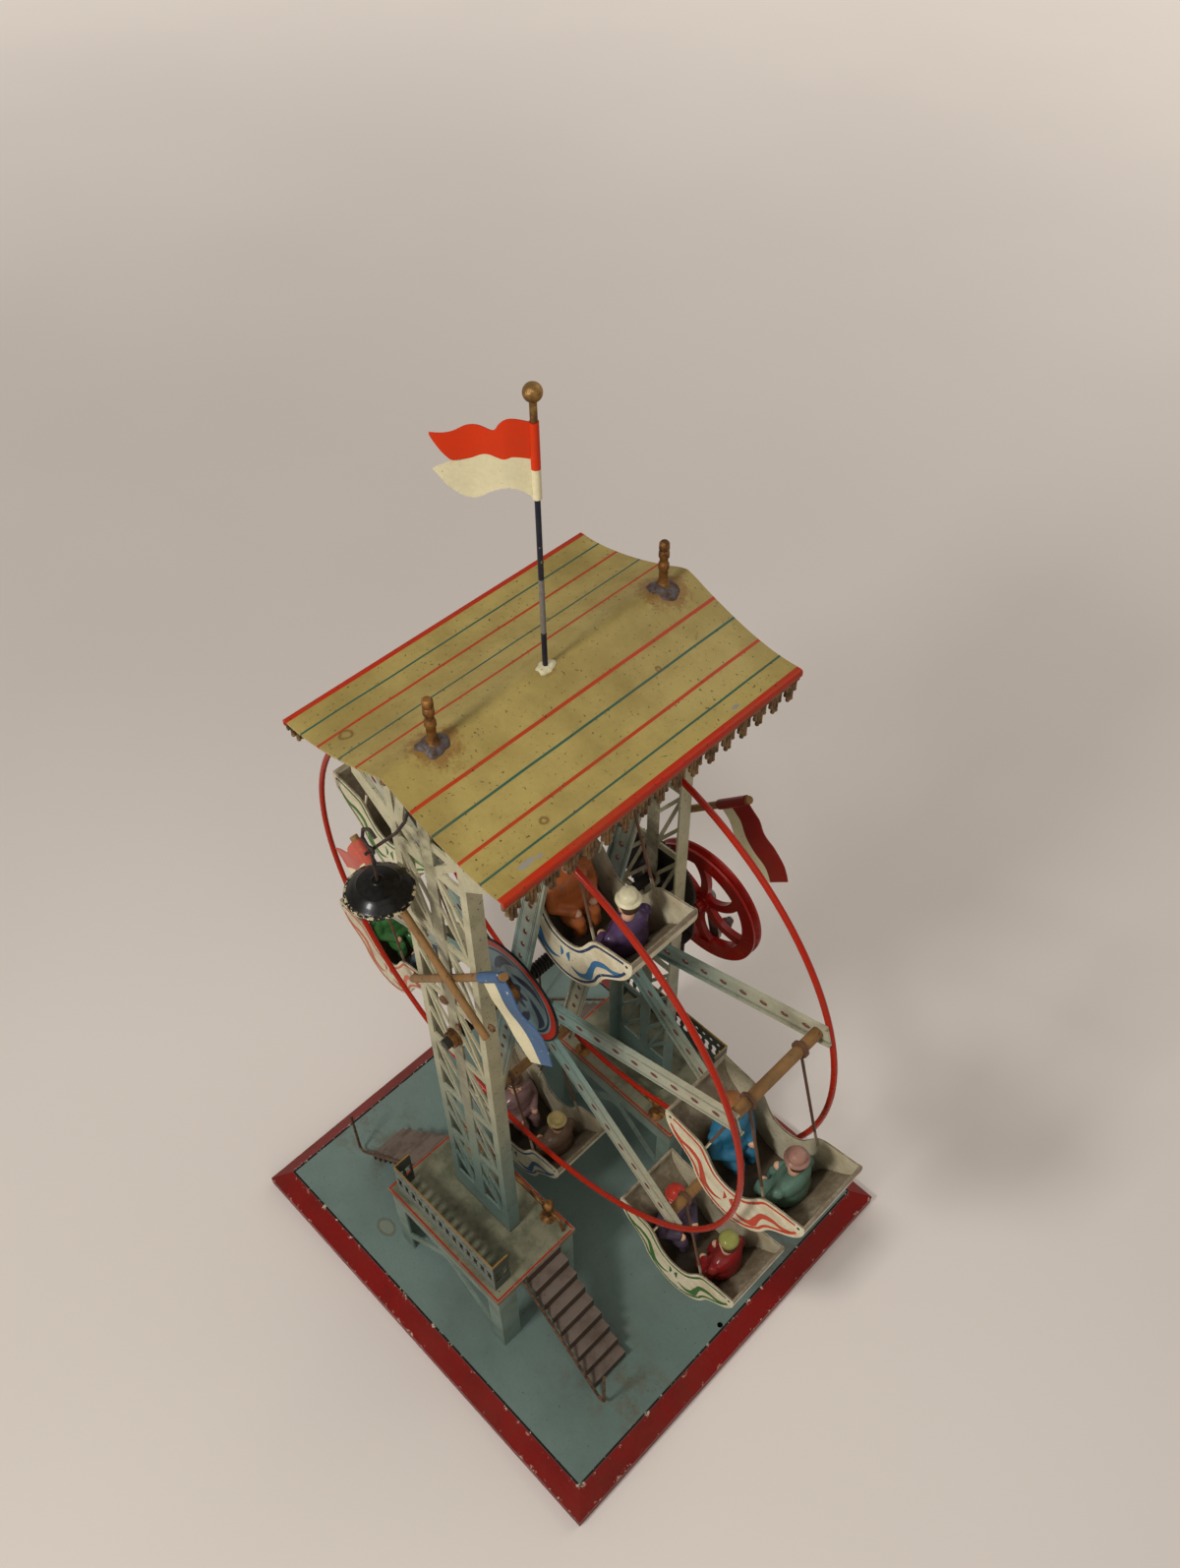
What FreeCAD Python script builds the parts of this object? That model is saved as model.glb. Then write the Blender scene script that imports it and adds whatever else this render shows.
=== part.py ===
import FreeCAD, Part

import math
import os
import re

import Sketcher

# Hand cranked tinplate ferris wheel toy.  Millimetres, +Z up, X in the plane of
# the wheel, Y along its axle, origin at the centre of the base underside.
# The front tower stands at y < 0, the rear tower with the crank gear at y > 0.

os.makedirs("parts", exist_ok=True)

Vector = FreeCAD.Vector
Rotation = FreeCAD.Rotation
Placement = FreeCAD.Placement
X_AXIS = Vector(1, 0, 0)
Y_AXIS = Vector(0, 1, 0)
Z_AXIS = Vector(0, 0, 1)

DIMENSIONS = {
    # clearances
    "seat_gap": 0.05,            # between pieces that are soldered or stood face to face
    "running_gap": 0.05,         # radial, where one piece turns on another
    "press_gap": 0.02,           # radial, where a piece is pressed on a shaft
    # base pan
    "base_length": 200.0,
    "base_width": 185.5,
    "base_height": 12.0,
    "skirt_height": 5.5,
    "border_inset": 7.7,
    "base_sheet": 0.8,
    "base_lip": 6.0,
    "deck_hole_setback": 2.3,    # from the inner edge of the border
    "deck_hole_radius": 1.2,
    # platforms on either side of the wheel
    "platform_length": 66.8,
    "platform_width": 42.0,
    "platform_offset": 48.9,
    "platform_top": 62.2,
    "platform_sheet": 0.8,
    "platform_edge": 2.5,
    # trestles that carry the platforms
    "trestle_sheet": 0.8,
    "leg_width": 7.0,
    "leg_depth": 9.0,
    "trestle_band": 11.0,
    "brace_reach": 23.5,
    "brace_drop": 22.0,
    "brace_rise": 5.0,
    # punched railings
    "railing_offset": 67.2,
    "railing_length": 58.4,
    "railing_height": 21.4,
    "railing_return": 8.0,
    "railing_sheet": 0.5,
    "railing_pitch": 4.1,
    "railing_bays": 14.0,
    "return_slot": 2.3,          # from the railing's outer face to the first slot of a folded end
    "return_slot_pitch": 3.5,
    "slot_height": 10.4,
    "slot_length": 7.0,
    "slot_radius": 1.45,
    "slot_neck": 1.9,
    "eyelet_height": 16.8,
    "eyelet_radius": 0.95,
    # stairs and their wire handrails
    "stair_width": 18.0,
    "stair_offset": 46.0,
    "stair_run": 36.5,
    "stair_steps": 9.0,
    "stair_sheet": 0.8,
    "handrail_wire": 0.6,
    "handrail_gap": 1.2,
    "handrail_overrun": 8.0,
    "handrail_upright": 33.0,
    "handrail_bend": 2.0,
    "handrail_drop": 1.0,
    # ball posts and bars at the boarding edge of the platforms
    "post_spacing": 44.0,
    "post_offset": 31.8,
    "post_neck": 1.3,
    "post_foot": 3.5,
    "post_foot_height": 1.6,
    "post_height": 10.0,
    "post_ball": 2.5,
    "bar_wire": 0.7,
    "bar_height": 6.7,
    "stay_reach": 7.2,
    "stay_splay": 2.16,
    # towers
    "tower_offset": 47.3,
    "tower_sheet": 0.8,
    "tower_half": 16.0,
    "tower_flange": 5.5,
    "flare_start": 288.0,
    "flare_rise": 12.5,
    "head_half": 31.0,
    "centre_strip": 5.0,
    "border_strip": 3.0,
    "panel_start": 76.0,
    "panel_pitch": 35.0,
    "panel_count": 6.0,
    "panel_bar": 3.0,
    "strut_rise": 1.2,
    "diagonal_rise": 2.0,
    "head_strut": 3.6,
    "tower_boss": 4.2,
    # axle and its bearings
    "axle_height": 194.1,
    "axle_radius": 2.0,
    "bush_wall": 0.85,
    "bush_flange_radius": 3.5,
    "bush_flange": 0.7,
    "cap_radius": 3.0,
    "cap_length": 2.0,
    # wheel
    "rod_circle": 98.5,
    "rod_radius": 2.0,
    "spoke_phase": 18.7,
    "spoke_offset": 21.15,
    "spoke_start": 10.0,
    "spoke_end": 102.6,
    "spoke_width": 8.0,
    "spoke_sheet": 0.7,
    "spoke_fold": 1.6,
    "spoke_hole_first": 25.0,
    "spoke_hole_pitch": 8.6,
    "spoke_hole_count": 9.0,
    "spoke_hole_length": 2.4,
    "spoke_hole_width": 1.2,
    "ring_radius": 101.9,
    "ring_wire": 1.05,
    "hub_disc_radius": 22.0,
    "hub_disc_sheet": 0.7,
    "hub_collar_radius": 4.0,
    "hub_collar_length": 3.0,
    # gondolas, measured from the rod that they hang on
    "gondola_half_length": 28.5,
    "gondola_half_width": 14.5,
    "rim_drop": 40.0,
    "gondola_depth": 35.0,
    "side_sheet": 0.7,
    "belly_sheet": 0.8,
    "eye_wall": 0.9,
    "eye_width": 1.2,
    "eye_offset": 12.0,
    "hanger_wire": 0.5,
    "hanger_spread": 12.5,
    "hanger_drop": 47.0,
    # riders, measured from the same rod
    "rider_reach": 14.5,
    "rider_half_depth": 6.0,
    "rider_half_width": 9.5,
    "rider_shoulder_drop": 43.0,
    "rider_head": 4.2,
    "rider_head_drop": 37.5,
    "rider_hat": 4.2,
    "rider_hat_drop": 32.5,
    "rider_hat_height": 4.8,
    # gear train and crank
    "gear_module": 0.45,
    "gear_teeth": 82.0,
    "pinion_teeth": 12.0,
    "gear_thickness": 1.2,
    "gear_gap": 1.15,
    "gear_boss": 5.0,
    "pinion_length": 2.2,
    "crank_direction": -50.0,
    "crank_shaft": 1.2,
    "crank_bush_wall": 0.45,
    "crank_bush_flange_radius": 2.4,
    "crank_bush_flange": 0.6,
    "bracket_width": 7.0,
    "bracket_sheet": 0.8,
    "bracket_reach": 4.9,
    "bracket_foot": 8.0,
    "bracket_drop": 11.9,
    "bracket_head": 3.6,
    "flywheel_gap": 6.2,
    "flywheel_radius": 26.4,
    "flywheel_rim": 5.7,
    "flywheel_width": 4.3,
    "groove_depth": 1.4,
    "groove_land": 0.9,
    "flywheel_hub": 4.0,
    "flywheel_neck": 2.6,
    "flywheel_neck_reach": 2.7,
    "flywheel_web": 2.4,
    "flywheel_spoke": 3.4,
    "flywheel_spokes": 6.0,
    "flywheel_spoke_bow": 3.2,
    "flywheel_spoke_flare": 1.5,  # width at hub and rim, as a share of the width between
    "flywheel_phase": 41.3,
    "arm_gap": 1.0,
    "arm_length": 21.4,
    "arm_thickness": 1.4,
    "arm_half_width": 2.4,
    "arm_direction": -78.0,
    "crank_pin": 0.9,
    "pin_head": 1.4,
    "pin_head_thickness": 0.6,
    "knob_radius": 1.7,
    "knob_length": 7.8,
    "knob_ball": 2.6,
    # roof
    "roof_ridge": 330.0,
    "roof_sheet": 0.7,
    "roof_half_length": 57.2,
    "roof_half_span": 44.7,
    "roof_waist": 17.0,
    "roof_break": 39.0,
    "waist_fall": 6.4,
    "head_fall": 10.0,
    "break_fall": 10.7,
    "eave_fall": 10.4,
    "eave_lip": 2.5,
    "fringe_sheet": 0.6,
    "fringe_band": 3.0,
    "fringe_pitch": 6.7,
    "fringe_groups": 17.0,
    "fringe_tube": 1.2,
    "fringe_short": 3.6,
    "fringe_long": 6.4,
    "front_finial_offset": 40.0,
    "rear_finial_offset": 46.8,
    "finial_radius": 2.0,
    "finial_height": 16.0,
    "solder_radius": 4.4,
    "solder_height": 3.4,
    # flagpole and its flag
    "pole_radius": 0.75,
    "pole_height": 76.5,
    "pole_ball": 2.4,
    "pole_shank": 0.93,
    "pole_shank_length": 7.5,
    "flag_sheet": 0.4,
    "sleeve_wall": 0.4,
    "roof_flag_height": 21.4,
    "roof_flag_direction": -134.6,
    # crossed flag rods on the towers
    "flag_rod": 1.3,
    "banner_width": 14.6,
    "banner_set_back": 1.5,
    # lamp
    "lamp_wire": 0.5,
    "lamp_standoff": 11.2,
    "lamp_height": 293.8,
    "lamp_x": -9.8,
    "lamp_pin_length": 4.4,
    "shade_radius": 10.5,
    "shade_height": 5.6,
    "shade_drop": 13.2,
    "shade_sheet": 0.6,
    "shade_boss": 1.8,
    "stem_nut": 1.3,
    "stem_nut_height": 1.0,
}

doc = FreeCAD.newDocument("crank_ferris_wheel")
sheet = doc.addObject("Spreadsheet::Sheet", "dims")
for row, (alias, size) in enumerate(DIMENSIONS.items(), start=1):
    sheet.set(f"A{row}", alias)
    sheet.set(f"B{row}", str(size))
    sheet.setAlias(f"B{row}", alias)
doc.recompute()

parts = []


# ---------------------------------------------------------------- helpers

def bound(expression):
    """Text of an expression with each alias written as a cell of the sheet."""
    def cell(match):
        word = match.group(0)
        return "dims." + word if word in DIMENSIONS else word
    return re.sub(r"[a-z]\w*", cell, str(expression))


def value(expression):
    """Number that an expression of aliases has at the moment."""
    return float(sheet.evalExpression(bound(expression)))


def bind(item, **properties):
    for name, expression in properties.items():
        item.setExpression(name, bound(expression))


def place(item, x=0, y=0, z=0, turn=None):
    """Place an item at expressions, with an optional (axis, degrees) turn."""
    if turn:
        item.Placement = Placement(Vector(), Rotation(*turn))
    for name, expression in (("x", x), ("y", y), ("z", z)):
        item.setExpression(f".Placement.Base.{name}", bound(expression))
    return item


def part(item, label=None):
    """Register an item as one sub-part of the toy."""
    if label:
        item.Label = label
    parts.append(item)
    return item


def box(label, x_span, y_span, z_span):
    """Box between expression pairs (low, high) along each axis."""
    item = doc.addObject("Part::Box", label)
    spans = (x_span, y_span, z_span)
    for side, (low, high) in zip(("Length", "Width", "Height"), spans):
        item.setExpression(side, bound(f"({high}) - ({low})"))
    return place(item, *(low for low, high in spans))


def cylinder(label, radius, length, at=(0, 0, 0), along="z"):
    """Cylinder that starts at a point and runs along +X, +Y or +Z."""
    item = doc.addObject("Part::Cylinder", label)
    bind(item, Radius=radius, Height=length)
    turns = {"x": (Y_AXIS, 90), "y": (X_AXIS, -90), "z": None}
    return place(item, *at, turn=turns[along])


def sphere(label, radius, at):
    item = doc.addObject("Part::Sphere", label)
    bind(item, Radius=radius)
    return place(item, *at)


def cone(label, low_radius, high_radius, height, at):
    item = doc.addObject("Part::Cone", label)
    bind(item, Radius1=low_radius, Radius2=high_radius, Height=height)
    return place(item, *at)


def cut(label, base, *tools):
    item = doc.addObject("Part::Cut", label)
    item.Base = base
    item.Tool = tools[0] if len(tools) == 1 else fuse(label + "_tools", *tools)
    return item


def fuse(label, *shapes):
    item = doc.addObject("Part::MultiFuse", label)
    item.Shapes = list(shapes)
    return item


def group(label, *members):
    """Separate solids that share one node."""
    item = doc.addObject("Part::Compound", label)
    item.Links = list(members)
    return item


def ring(label, outer, inner, length, at, along="y"):
    """Plain bush: a cylinder with a through bore."""
    body = cylinder(label + "_outer", outer, length, at, along)
    bore = cylinder(label + "_bore", inner, length, at, along)
    return cut(label, body, bore)


def link(label, source, x=0, y=0, z=0, turn=None):
    item = doc.addObject("App::Link", label)
    item.LinkedObject = source
    return place(item, x, y, z, turn)


def shaped(label, shape):
    """Piece whose outline comes from a formula or a curve."""
    item = doc.addObject("Part::Feature", label)
    item.Shape = shape
    return item


def origin_plane(body, role):
    return next(item for item in body.Origin.OriginFeatures if item.Role == role)


def sketch(body, label, loops, plane="XZ_Plane"):
    """Sketch of closed loops.  A loop is a list of (x, y) expressions, or a
    circle given as (x, y, radius)."""
    item = body.newObject("Sketcher::SketchObject", label)
    item.AttachmentSupport = (origin_plane(body, plane), "")
    item.MapMode = "FlatFace"
    for loop in loops:
        if isinstance(loop, tuple):
            sketch_circle(item, *loop)
        else:
            sketch_polygon(item, loop)
    return item


def drive(item, constraint, expression):
    index = item.addConstraint(constraint)
    item.setExpression(f"Constraints[{index}]", bound(expression))


def sketch_circle(item, x, y, radius):
    centre = Vector(value(x), value(y), 0)
    edge = item.addGeometry(Part.Circle(centre, Z_AXIS, value(radius)), False)
    drive(item, Sketcher.Constraint("Radius", edge, value(radius)), radius)
    drive(item, Sketcher.Constraint("DistanceX", -1, 1, edge, 3, value(x)), x)
    drive(item, Sketcher.Constraint("DistanceY", -1, 1, edge, 3, value(y)), y)


def sketch_polygon(item, corners):
    points = [Vector(value(x), value(y), 0) for x, y in corners]
    first = item.GeometryCount
    count = len(points)
    for index in range(count):
        line = Part.LineSegment(points[index], points[(index + 1) % count])
        item.addGeometry(line, False)
    for index in range(count):
        after = first + (index + 1) % count
        item.addConstraint(Sketcher.Constraint("Coincident", first + index, 2, after, 1))
    for index, (x, y) in enumerate(corners):
        edge = first + index
        drive(item, Sketcher.Constraint("DistanceX", -1, 1, edge, 1, points[index].x), x)
        drive(item, Sketcher.Constraint("DistanceY", -1, 1, edge, 1, points[index].y), y)


def rectangle(x_low, x_high, y_low, y_high):
    return [(x_low, y_low), (x_high, y_low), (x_high, y_high), (x_low, y_high)]


def mirrored(loop):
    """The same loop on the other side of the sketch's vertical axis."""
    return [(f"-({x})", y) for x, y in reversed(loop)]


def body_of(label, turned=False, x=0, y=0, z=0):
    """PartDesign body; its plate work faces -Y, or +Y when it is turned."""
    body = doc.addObject("PartDesign::Body", label)
    return place(body, x, y, z, turn=(Z_AXIS, 180) if turned else None)


def pad(body, label, loops, length, plane="XZ_Plane", inward=True):
    """Pad of loops; on the XZ plane it grows toward local +Y when inward."""
    item = body.newObject("PartDesign::Pad", label)
    item.Profile = sketch(body, label + "_sketch", loops, plane)
    bind(item, Length=length)
    item.Reversed = inward and plane == "XZ_Plane"
    return item


def pocket(body, label, loops, plane="XZ_Plane"):
    item = body.newObject("PartDesign::Pocket", label)
    item.Profile = sketch(body, label + "_sketch", loops, plane)
    item.Type = "ThroughAll"
    item.SideType = "Symmetric"
    return item


def repeat(body, label, features, axis, pitch, count):
    item = body.newObject("PartDesign::LinearPattern", label)
    item.Originals = list(features)
    item.Direction = (origin_plane(body, axis), [""])
    item.Mode = "Spacing"
    bind(item, Offset=pitch, Occurrences=count)
    body.Tip = item
    return item


def wire_rod(points, radius, bend=0):
    """Round bar along straight runs, with an arc of one radius at each bend."""
    edges = []
    start = points[0]
    for index in range(1, len(points) - 1):
        corner = points[index]
        to_start = (points[index - 1] - corner).normalize()
        to_end = (points[index + 1] - corner).normalize()
        half_angle = to_start.getAngle(to_end) / 2
        reach = bend / math.tan(half_angle)
        middle_reach = bend / math.sin(half_angle) - bend
        inner = (to_start + to_end).normalize()
        arc_start = corner + to_start * reach
        arc_end = corner + to_end * reach
        edges.append(Part.LineSegment(start, arc_start).toShape())
        edges.append(Part.Arc(arc_start, corner + inner * middle_reach, arc_end).toShape())
        start = arc_end
    edges.append(Part.LineSegment(start, points[-1]).toShape())
    section = Part.Circle(points[0], points[1] - points[0], radius).toShape()
    path = Part.Wire(edges)
    return path.makePipeShell([Part.Wire([section])], True, False)


def curve(points):
    """Smooth edge through flat points (x, z), standing in the XZ plane."""
    spline = Part.BSplineCurve()
    spline.interpolate([Vector(x, 0, z) for x, z in points])
    return spline.toShape()


def straight(first, last):
    return Part.LineSegment(Vector(first[0], 0, first[1]), Vector(last[0], 0, last[1])).toShape()


def plate(edges, y_low, y_high):
    """Plate between two Y levels from edges that close an XZ outline."""
    face = Part.Face(Part.Wire(edges))
    face.translate(Vector(0, y_low, 0))
    return face.extrude(Vector(0, y_high - y_low, 0))


def offset_points(points, distance):
    """Flat points moved to the left of their direction of travel."""
    moved = []
    for index, (x, z) in enumerate(points):
        before = points[max(index - 1, 0)]
        after = points[min(index + 1, len(points) - 1)]
        run, rise = after[0] - before[0], after[1] - before[1]
        length = math.hypot(run, rise)
        moved.append((x - distance * rise / length, z + distance * run / length))
    return moved


# ---------------------------------------------------------------- base and platforms

def add_base_pan():
    """Pressed pan: upright skirt, sloping border, flat deck, folded lip below."""
    half_length, half_width = "base_length / 2", "base_width / 2"
    outer_skirt = box("skirt_outer", (f"-{half_length}", half_length),
                      (f"-{half_width}", half_width), (0, "skirt_height"))
    outer_border = border_frustum("border_outer", 0, "base_height - skirt_height")
    inner_skirt = box("skirt_inner",
                      (f"-{half_length} + base_sheet", f"{half_length} - base_sheet"),
                      (f"-{half_width} + base_sheet", f"{half_width} - base_sheet"),
                      ("base_sheet", "skirt_height"))
    inner_border = border_frustum("border_inner", "base_sheet",
                                  "base_height - skirt_height - base_sheet")
    window = box("lip_window",
                 (f"-{half_length} + base_lip", f"{half_length} - base_lip"),
                 (f"-{half_width} + base_lip", f"{half_width} - base_lip"),
                 (0, "skirt_height"))
    holes = [cylinder(f"deck_hole_{side}", "deck_hole_radius", "base_height",
                      (f"{sign} * ({half_length} - border_inset - deck_hole_setback)", 0, 1))
             for side, sign in (("left", -1), ("right", 1))]
    shell = fuse("base_outer", outer_skirt, outer_border)
    part(cut("base_pan", shell, inner_skirt, inner_border, window, *holes))


def border_frustum(label, inset, height):
    item = doc.addObject("Part::Wedge", label)
    low_x, low_y = f"base_length / 2 - {inset}", f"base_width / 2 - {inset}"
    bind(item, Xmin=f"-({low_x})", Xmax=low_x, Zmin=f"-({low_y})", Zmax=low_y,
         Ymin="0", Ymax=height,
         X2min="-(base_length / 2 - border_inset)", X2max="base_length / 2 - border_inset",
         Z2min="-(base_width / 2 - border_inset)", Z2max="base_width / 2 - border_inset")
    return place(item, 0, 0, "skirt_height", turn=(X_AXIS, 90))


def add_platform(side, sign):
    """Flat tray with its edge folded down all round."""
    middle = f"{sign} * platform_offset"
    outer = box(f"{side}_deck_outer", ("-platform_length / 2", "platform_length / 2"),
                (f"{middle} - platform_width / 2", f"{middle} + platform_width / 2"),
                ("platform_top - platform_edge", "platform_top"))
    inner = box(f"{side}_deck_inner",
                ("-platform_length / 2 + platform_sheet", "platform_length / 2 - platform_sheet"),
                (f"{middle} - platform_width / 2 + platform_sheet",
                 f"{middle} + platform_width / 2 - platform_sheet"),
                ("platform_top - platform_edge", "platform_top - platform_sheet"))
    part(cut(f"{side}_deck", outer, inner))


def trestle_panel(label, turned, y):
    """Sheet panel on two angle legs, with a band and knee braces below it."""
    edge = "(platform_length / 2 - platform_sheet - seat_gap)"
    top = "(platform_top - platform_sheet - seat_gap)"
    bottom = "(base_height + seat_gap)"
    leg_inner = f"({edge} - leg_width)"
    ceiling = f"({top} - trestle_band)"
    knee = f"({ceiling} - brace_drop)"
    body = body_of(label, turned, y=y)
    pad(body, label + "_sheet", [rectangle(f"-{edge}", edge, bottom, top)], "trestle_sheet")
    legs = rectangle(f"{edge} - trestle_sheet", edge, bottom, top)
    pad(body, label + "_legs", [legs, mirrored(legs)], "leg_depth")
    arch = [(f"-{leg_inner}", bottom), (leg_inner, bottom),
            (leg_inner, f"{knee} - brace_rise"),
            (f"{leg_inner} - brace_reach", f"{ceiling} - brace_rise"),
            (f"-{leg_inner} + brace_reach", f"{ceiling} - brace_rise"),
            (f"-{leg_inner}", f"{knee} - brace_rise")]
    corner = [(leg_inner, knee), (leg_inner, ceiling), (f"{leg_inner} - brace_reach", ceiling)]
    pocket(body, label + "_windows", [arch, corner, mirrored(corner)])
    return body


def add_trestles(side, sign):
    far = f"{sign} * (platform_offset + platform_width / 2 - platform_sheet - seat_gap)"
    near = f"{sign} * (platform_offset - platform_width / 2 + platform_sheet + seat_gap)"
    outer = trestle_panel(f"{side}_trestle_outer", sign > 0, far)
    inner = trestle_panel(f"{side}_trestle_inner", sign < 0, near)
    part(group(f"{side}_trestles", outer, inner))


def add_railing(side, sign):
    """Railing punched with waisted slots and eyelets, its ends folded toward the wheel."""
    label = f"{side}_railing"
    body = body_of(label, sign > 0, y=f"{sign} * railing_offset", z="platform_top + seat_gap")
    half = "railing_length / 2"
    pad(body, label + "_sheet", [rectangle(f"-{half}", half, 0, "railing_height")],
        "railing_sheet")
    returns = rectangle(f"{half} - railing_sheet", half, 0, "railing_height")
    pad(body, label + "_returns", [returns, mirrored(returns)], "railing_return")
    first_bay = "-railing_pitch * (railing_bays - 1) / 2"
    slot_low = "slot_height - slot_length / 2 + slot_radius"
    slot_high = "slot_height + slot_length / 2 - slot_radius"

    def slot_at(name, across, plane):
        ends = pocket(body, f"{label}_{name}_ends", [(across, slot_low, "slot_radius"),
                                                     (across, slot_high, "slot_radius")], plane)
        neck = rectangle(f"{across} - slot_neck / 2", f"{across} + slot_neck / 2",
                         slot_low, slot_high)
        return [ends, pocket(body, f"{label}_{name}_neck", [neck], plane)]

    repeat(body, label + "_slots", slot_at("slot", first_bay, "XZ_Plane"), "X_Axis",
           "railing_pitch", "railing_bays")
    eyelet = pocket(body, label + "_eyelet", [(f"{first_bay} + railing_pitch / 2",
                                               "eyelet_height", "eyelet_radius")])
    repeat(body, label + "_eyelets", [eyelet], "X_Axis", "railing_pitch", "railing_bays - 1")
    slot_at("near_return", "return_slot", "YZ_Plane")
    slot_at("far_return", "return_slot + return_slot_pitch", "YZ_Plane")
    part(body)


def stair_points():
    """Upper outline of a stair in the XZ plane, from the platform to the base."""
    steps = int(value("stair_steps"))
    start = value("platform_length / 2 + seat_gap + stair_sheet")
    tread = value("stair_run / (stair_steps - 1)")
    top = value("platform_top")
    rise = value("(platform_top - base_height - seat_gap) / stair_steps")
    corners = []
    for step in range(steps):
        corners.append((start + step * tread, top - step * rise))
        corners.append((start + step * tread, top - (step + 1) * rise))
    return corners


def add_stair(label, sign_x, sign_y):
    """One sheet folded into risers and treads."""
    sheet_thickness = value("stair_sheet")
    upper = stair_points()
    lower = [(x - sheet_thickness, z - sheet_thickness) for x, z in upper]
    lower[0] = (lower[0][0], upper[0][1])
    lower[-1] = (lower[-1][0], upper[-1][1])
    outline = upper + lower[::-1]
    edges = [straight(outline[i], outline[(i + 1) % len(outline)]) for i in range(len(outline))]
    middle = value("stair_offset") * sign_y
    half = value("stair_width") / 2
    shape = plate(edges, middle - half, middle + half)
    if sign_x < 0:
        shape = shape.mirror(Vector(), X_AXIS)
    part(shaped(label, shape))


def add_handrails():
    """Wire along the outer edge of each stair, turned up at its foot."""
    wire = value("handrail_wire")
    y = value("stair_offset + stair_width / 2 + handrail_gap + handrail_wire")
    start = value("platform_length / 2 + seat_gap + handrail_wire")
    top = value("platform_top - handrail_drop")
    foot = value("platform_length / 2 + stair_run + handrail_overrun")
    ground = value("base_height + seat_gap + handrail_wire")
    path = [Vector(start, y, top), Vector(foot, y, ground),
            Vector(foot, y, ground + value("handrail_upright"))]
    rail = wire_rod(path, wire, value("handrail_bend"))
    rails = [rail, rail.mirror(Vector(), X_AXIS)]
    rails += [item.mirror(Vector(), Y_AXIS) for item in rails]
    part(shaped("stair_handrails", Part.makeCompound(rails)))


def add_gate_posts():
    """Turned ball posts: soldered foot, neck and ball."""
    foot = cone("post_foot_cone", "post_foot", "post_neck", "post_foot_height", (0, 0, 0))
    neck = cylinder("post_neck_rod", "post_neck", "post_height")
    ball = sphere("post_ball_sphere", "post_ball", (0, 0, "post_height"))
    post = fuse("gate_post", foot, neck, ball)
    posts = [link(f"gate_post_{index}", post, f"{sign_x} * post_spacing / 2",
                  f"{sign_y} * post_offset", "platform_top + seat_gap")
             for index, (sign_x, sign_y) in enumerate(((-1, -1), (1, -1), (-1, 1), (1, 1)))]
    part(group("gate_posts", *posts))


def add_gate_bars():
    """Bar between each pair of posts, and a bent stay beyond each post."""
    bars = []
    z = value("platform_top + bar_height")
    wire = value("bar_wire")
    neck_face = value("post_neck + seat_gap")
    post_x = value("post_spacing / 2")
    floor = value("platform_top + seat_gap")
    reach, splay = value("stay_reach"), value("stay_splay")
    lift = wire * splay / (z - floor - wire)  # keeps the slanting end's edge on the deck
    for sign_y in (-1, 1):
        y = value("post_offset") * sign_y
        bar = [Vector(-post_x + neck_face, y, z), Vector(post_x - neck_face, y, z)]
        bars.append(wire_rod(bar, wire))
        elbow = Vector(post_x + neck_face + reach - splay, y, z)
        tip = Vector(post_x + neck_face + reach, y, floor + lift)
        stay = wire_rod([Vector(post_x + neck_face, y, z), elbow, tip], wire, 2 * wire)
        bars += [stay, stay.mirror(Vector(), X_AXIS)]
    part(shaped("gate_bars", Part.makeCompound(bars)))


# ---------------------------------------------------------------- towers and bearings

def lattice_windows():
    """The four openings on each side of the centre strip in one lattice panel."""
    left, right = "(tower_half - border_strip)", "(centre_strip / 2)"
    low = "panel_start"
    high = "(panel_start + panel_pitch - panel_bar)"
    middle = f"(({low} + {high}) / 2)"
    slope = f"(({left} - {right}) / ({high} - {middle}))"
    nip = f"((strut_rise + diagonal_rise) * {slope})"
    tip = f"(strut_rise * {slope})"
    windows = []
    for x_left, x_right in ((f"-{left}", f"-{right}"), (right, left)):
        windows.append([(f"{x_left} + {tip}", high), (x_right, f"{middle} + strut_rise"),
                        (x_right, high)])
        windows.append([(f"{x_left} + {nip}", f"{high} - 2 * strut_rise - diagonal_rise"),
                        (x_right, f"{low} + diagonal_rise"), (x_right, f"{middle} - strut_rise")])
        windows.append([(f"{x_right} - {nip}", f"{low} + 2 * strut_rise + diagonal_rise"),
                        (x_left, f"{high} - diagonal_rise"), (x_left, f"{middle} + strut_rise")])
        windows.append([(f"{x_right} - {tip}", low), (x_left, f"{middle} - strut_rise"),
                        (x_left, low)])
    return windows


def head_windows(apex):
    """Openings in one half of the head, between its struts and the roof line."""
    def under_roof(x):
        if value(x) < value("roof_waist"):
            fall = f"waist_fall * ({x}) / roof_waist"
        else:
            share = f"(({x}) - roof_waist) / (head_half - roof_waist)"
            fall = f"(waist_fall + (head_fall - waist_fall) * {share})"
        return (x, f"{apex} - {fall} - border_strip")
    inner, outer = "centre_strip / 2", "tower_half - border_strip"
    low = "panel_start + panel_pitch * panel_count + strut_rise"
    bar_low = "(flare_start + flare_rise / 2)"
    bar_high = f"({bar_low} + panel_bar)"
    wing_edge = "head_half - border_strip"
    return [[(inner, low), (f"{outer} - head_strut", bar_low), (inner, bar_low)],
            [(outer, low), (outer, bar_low), (f"{inner} + head_strut", low)],
            [(inner, bar_high), (f"{outer} - head_strut", bar_high), under_roof(inner)],
            [(outer, bar_high), under_roof(outer), under_roof(f"{inner} + head_strut")],
            [("tower_half", bar_high), (wing_edge, "flare_start + flare_rise + head_strut"),
             under_roof(wing_edge), under_roof("tower_half")]]


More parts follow.
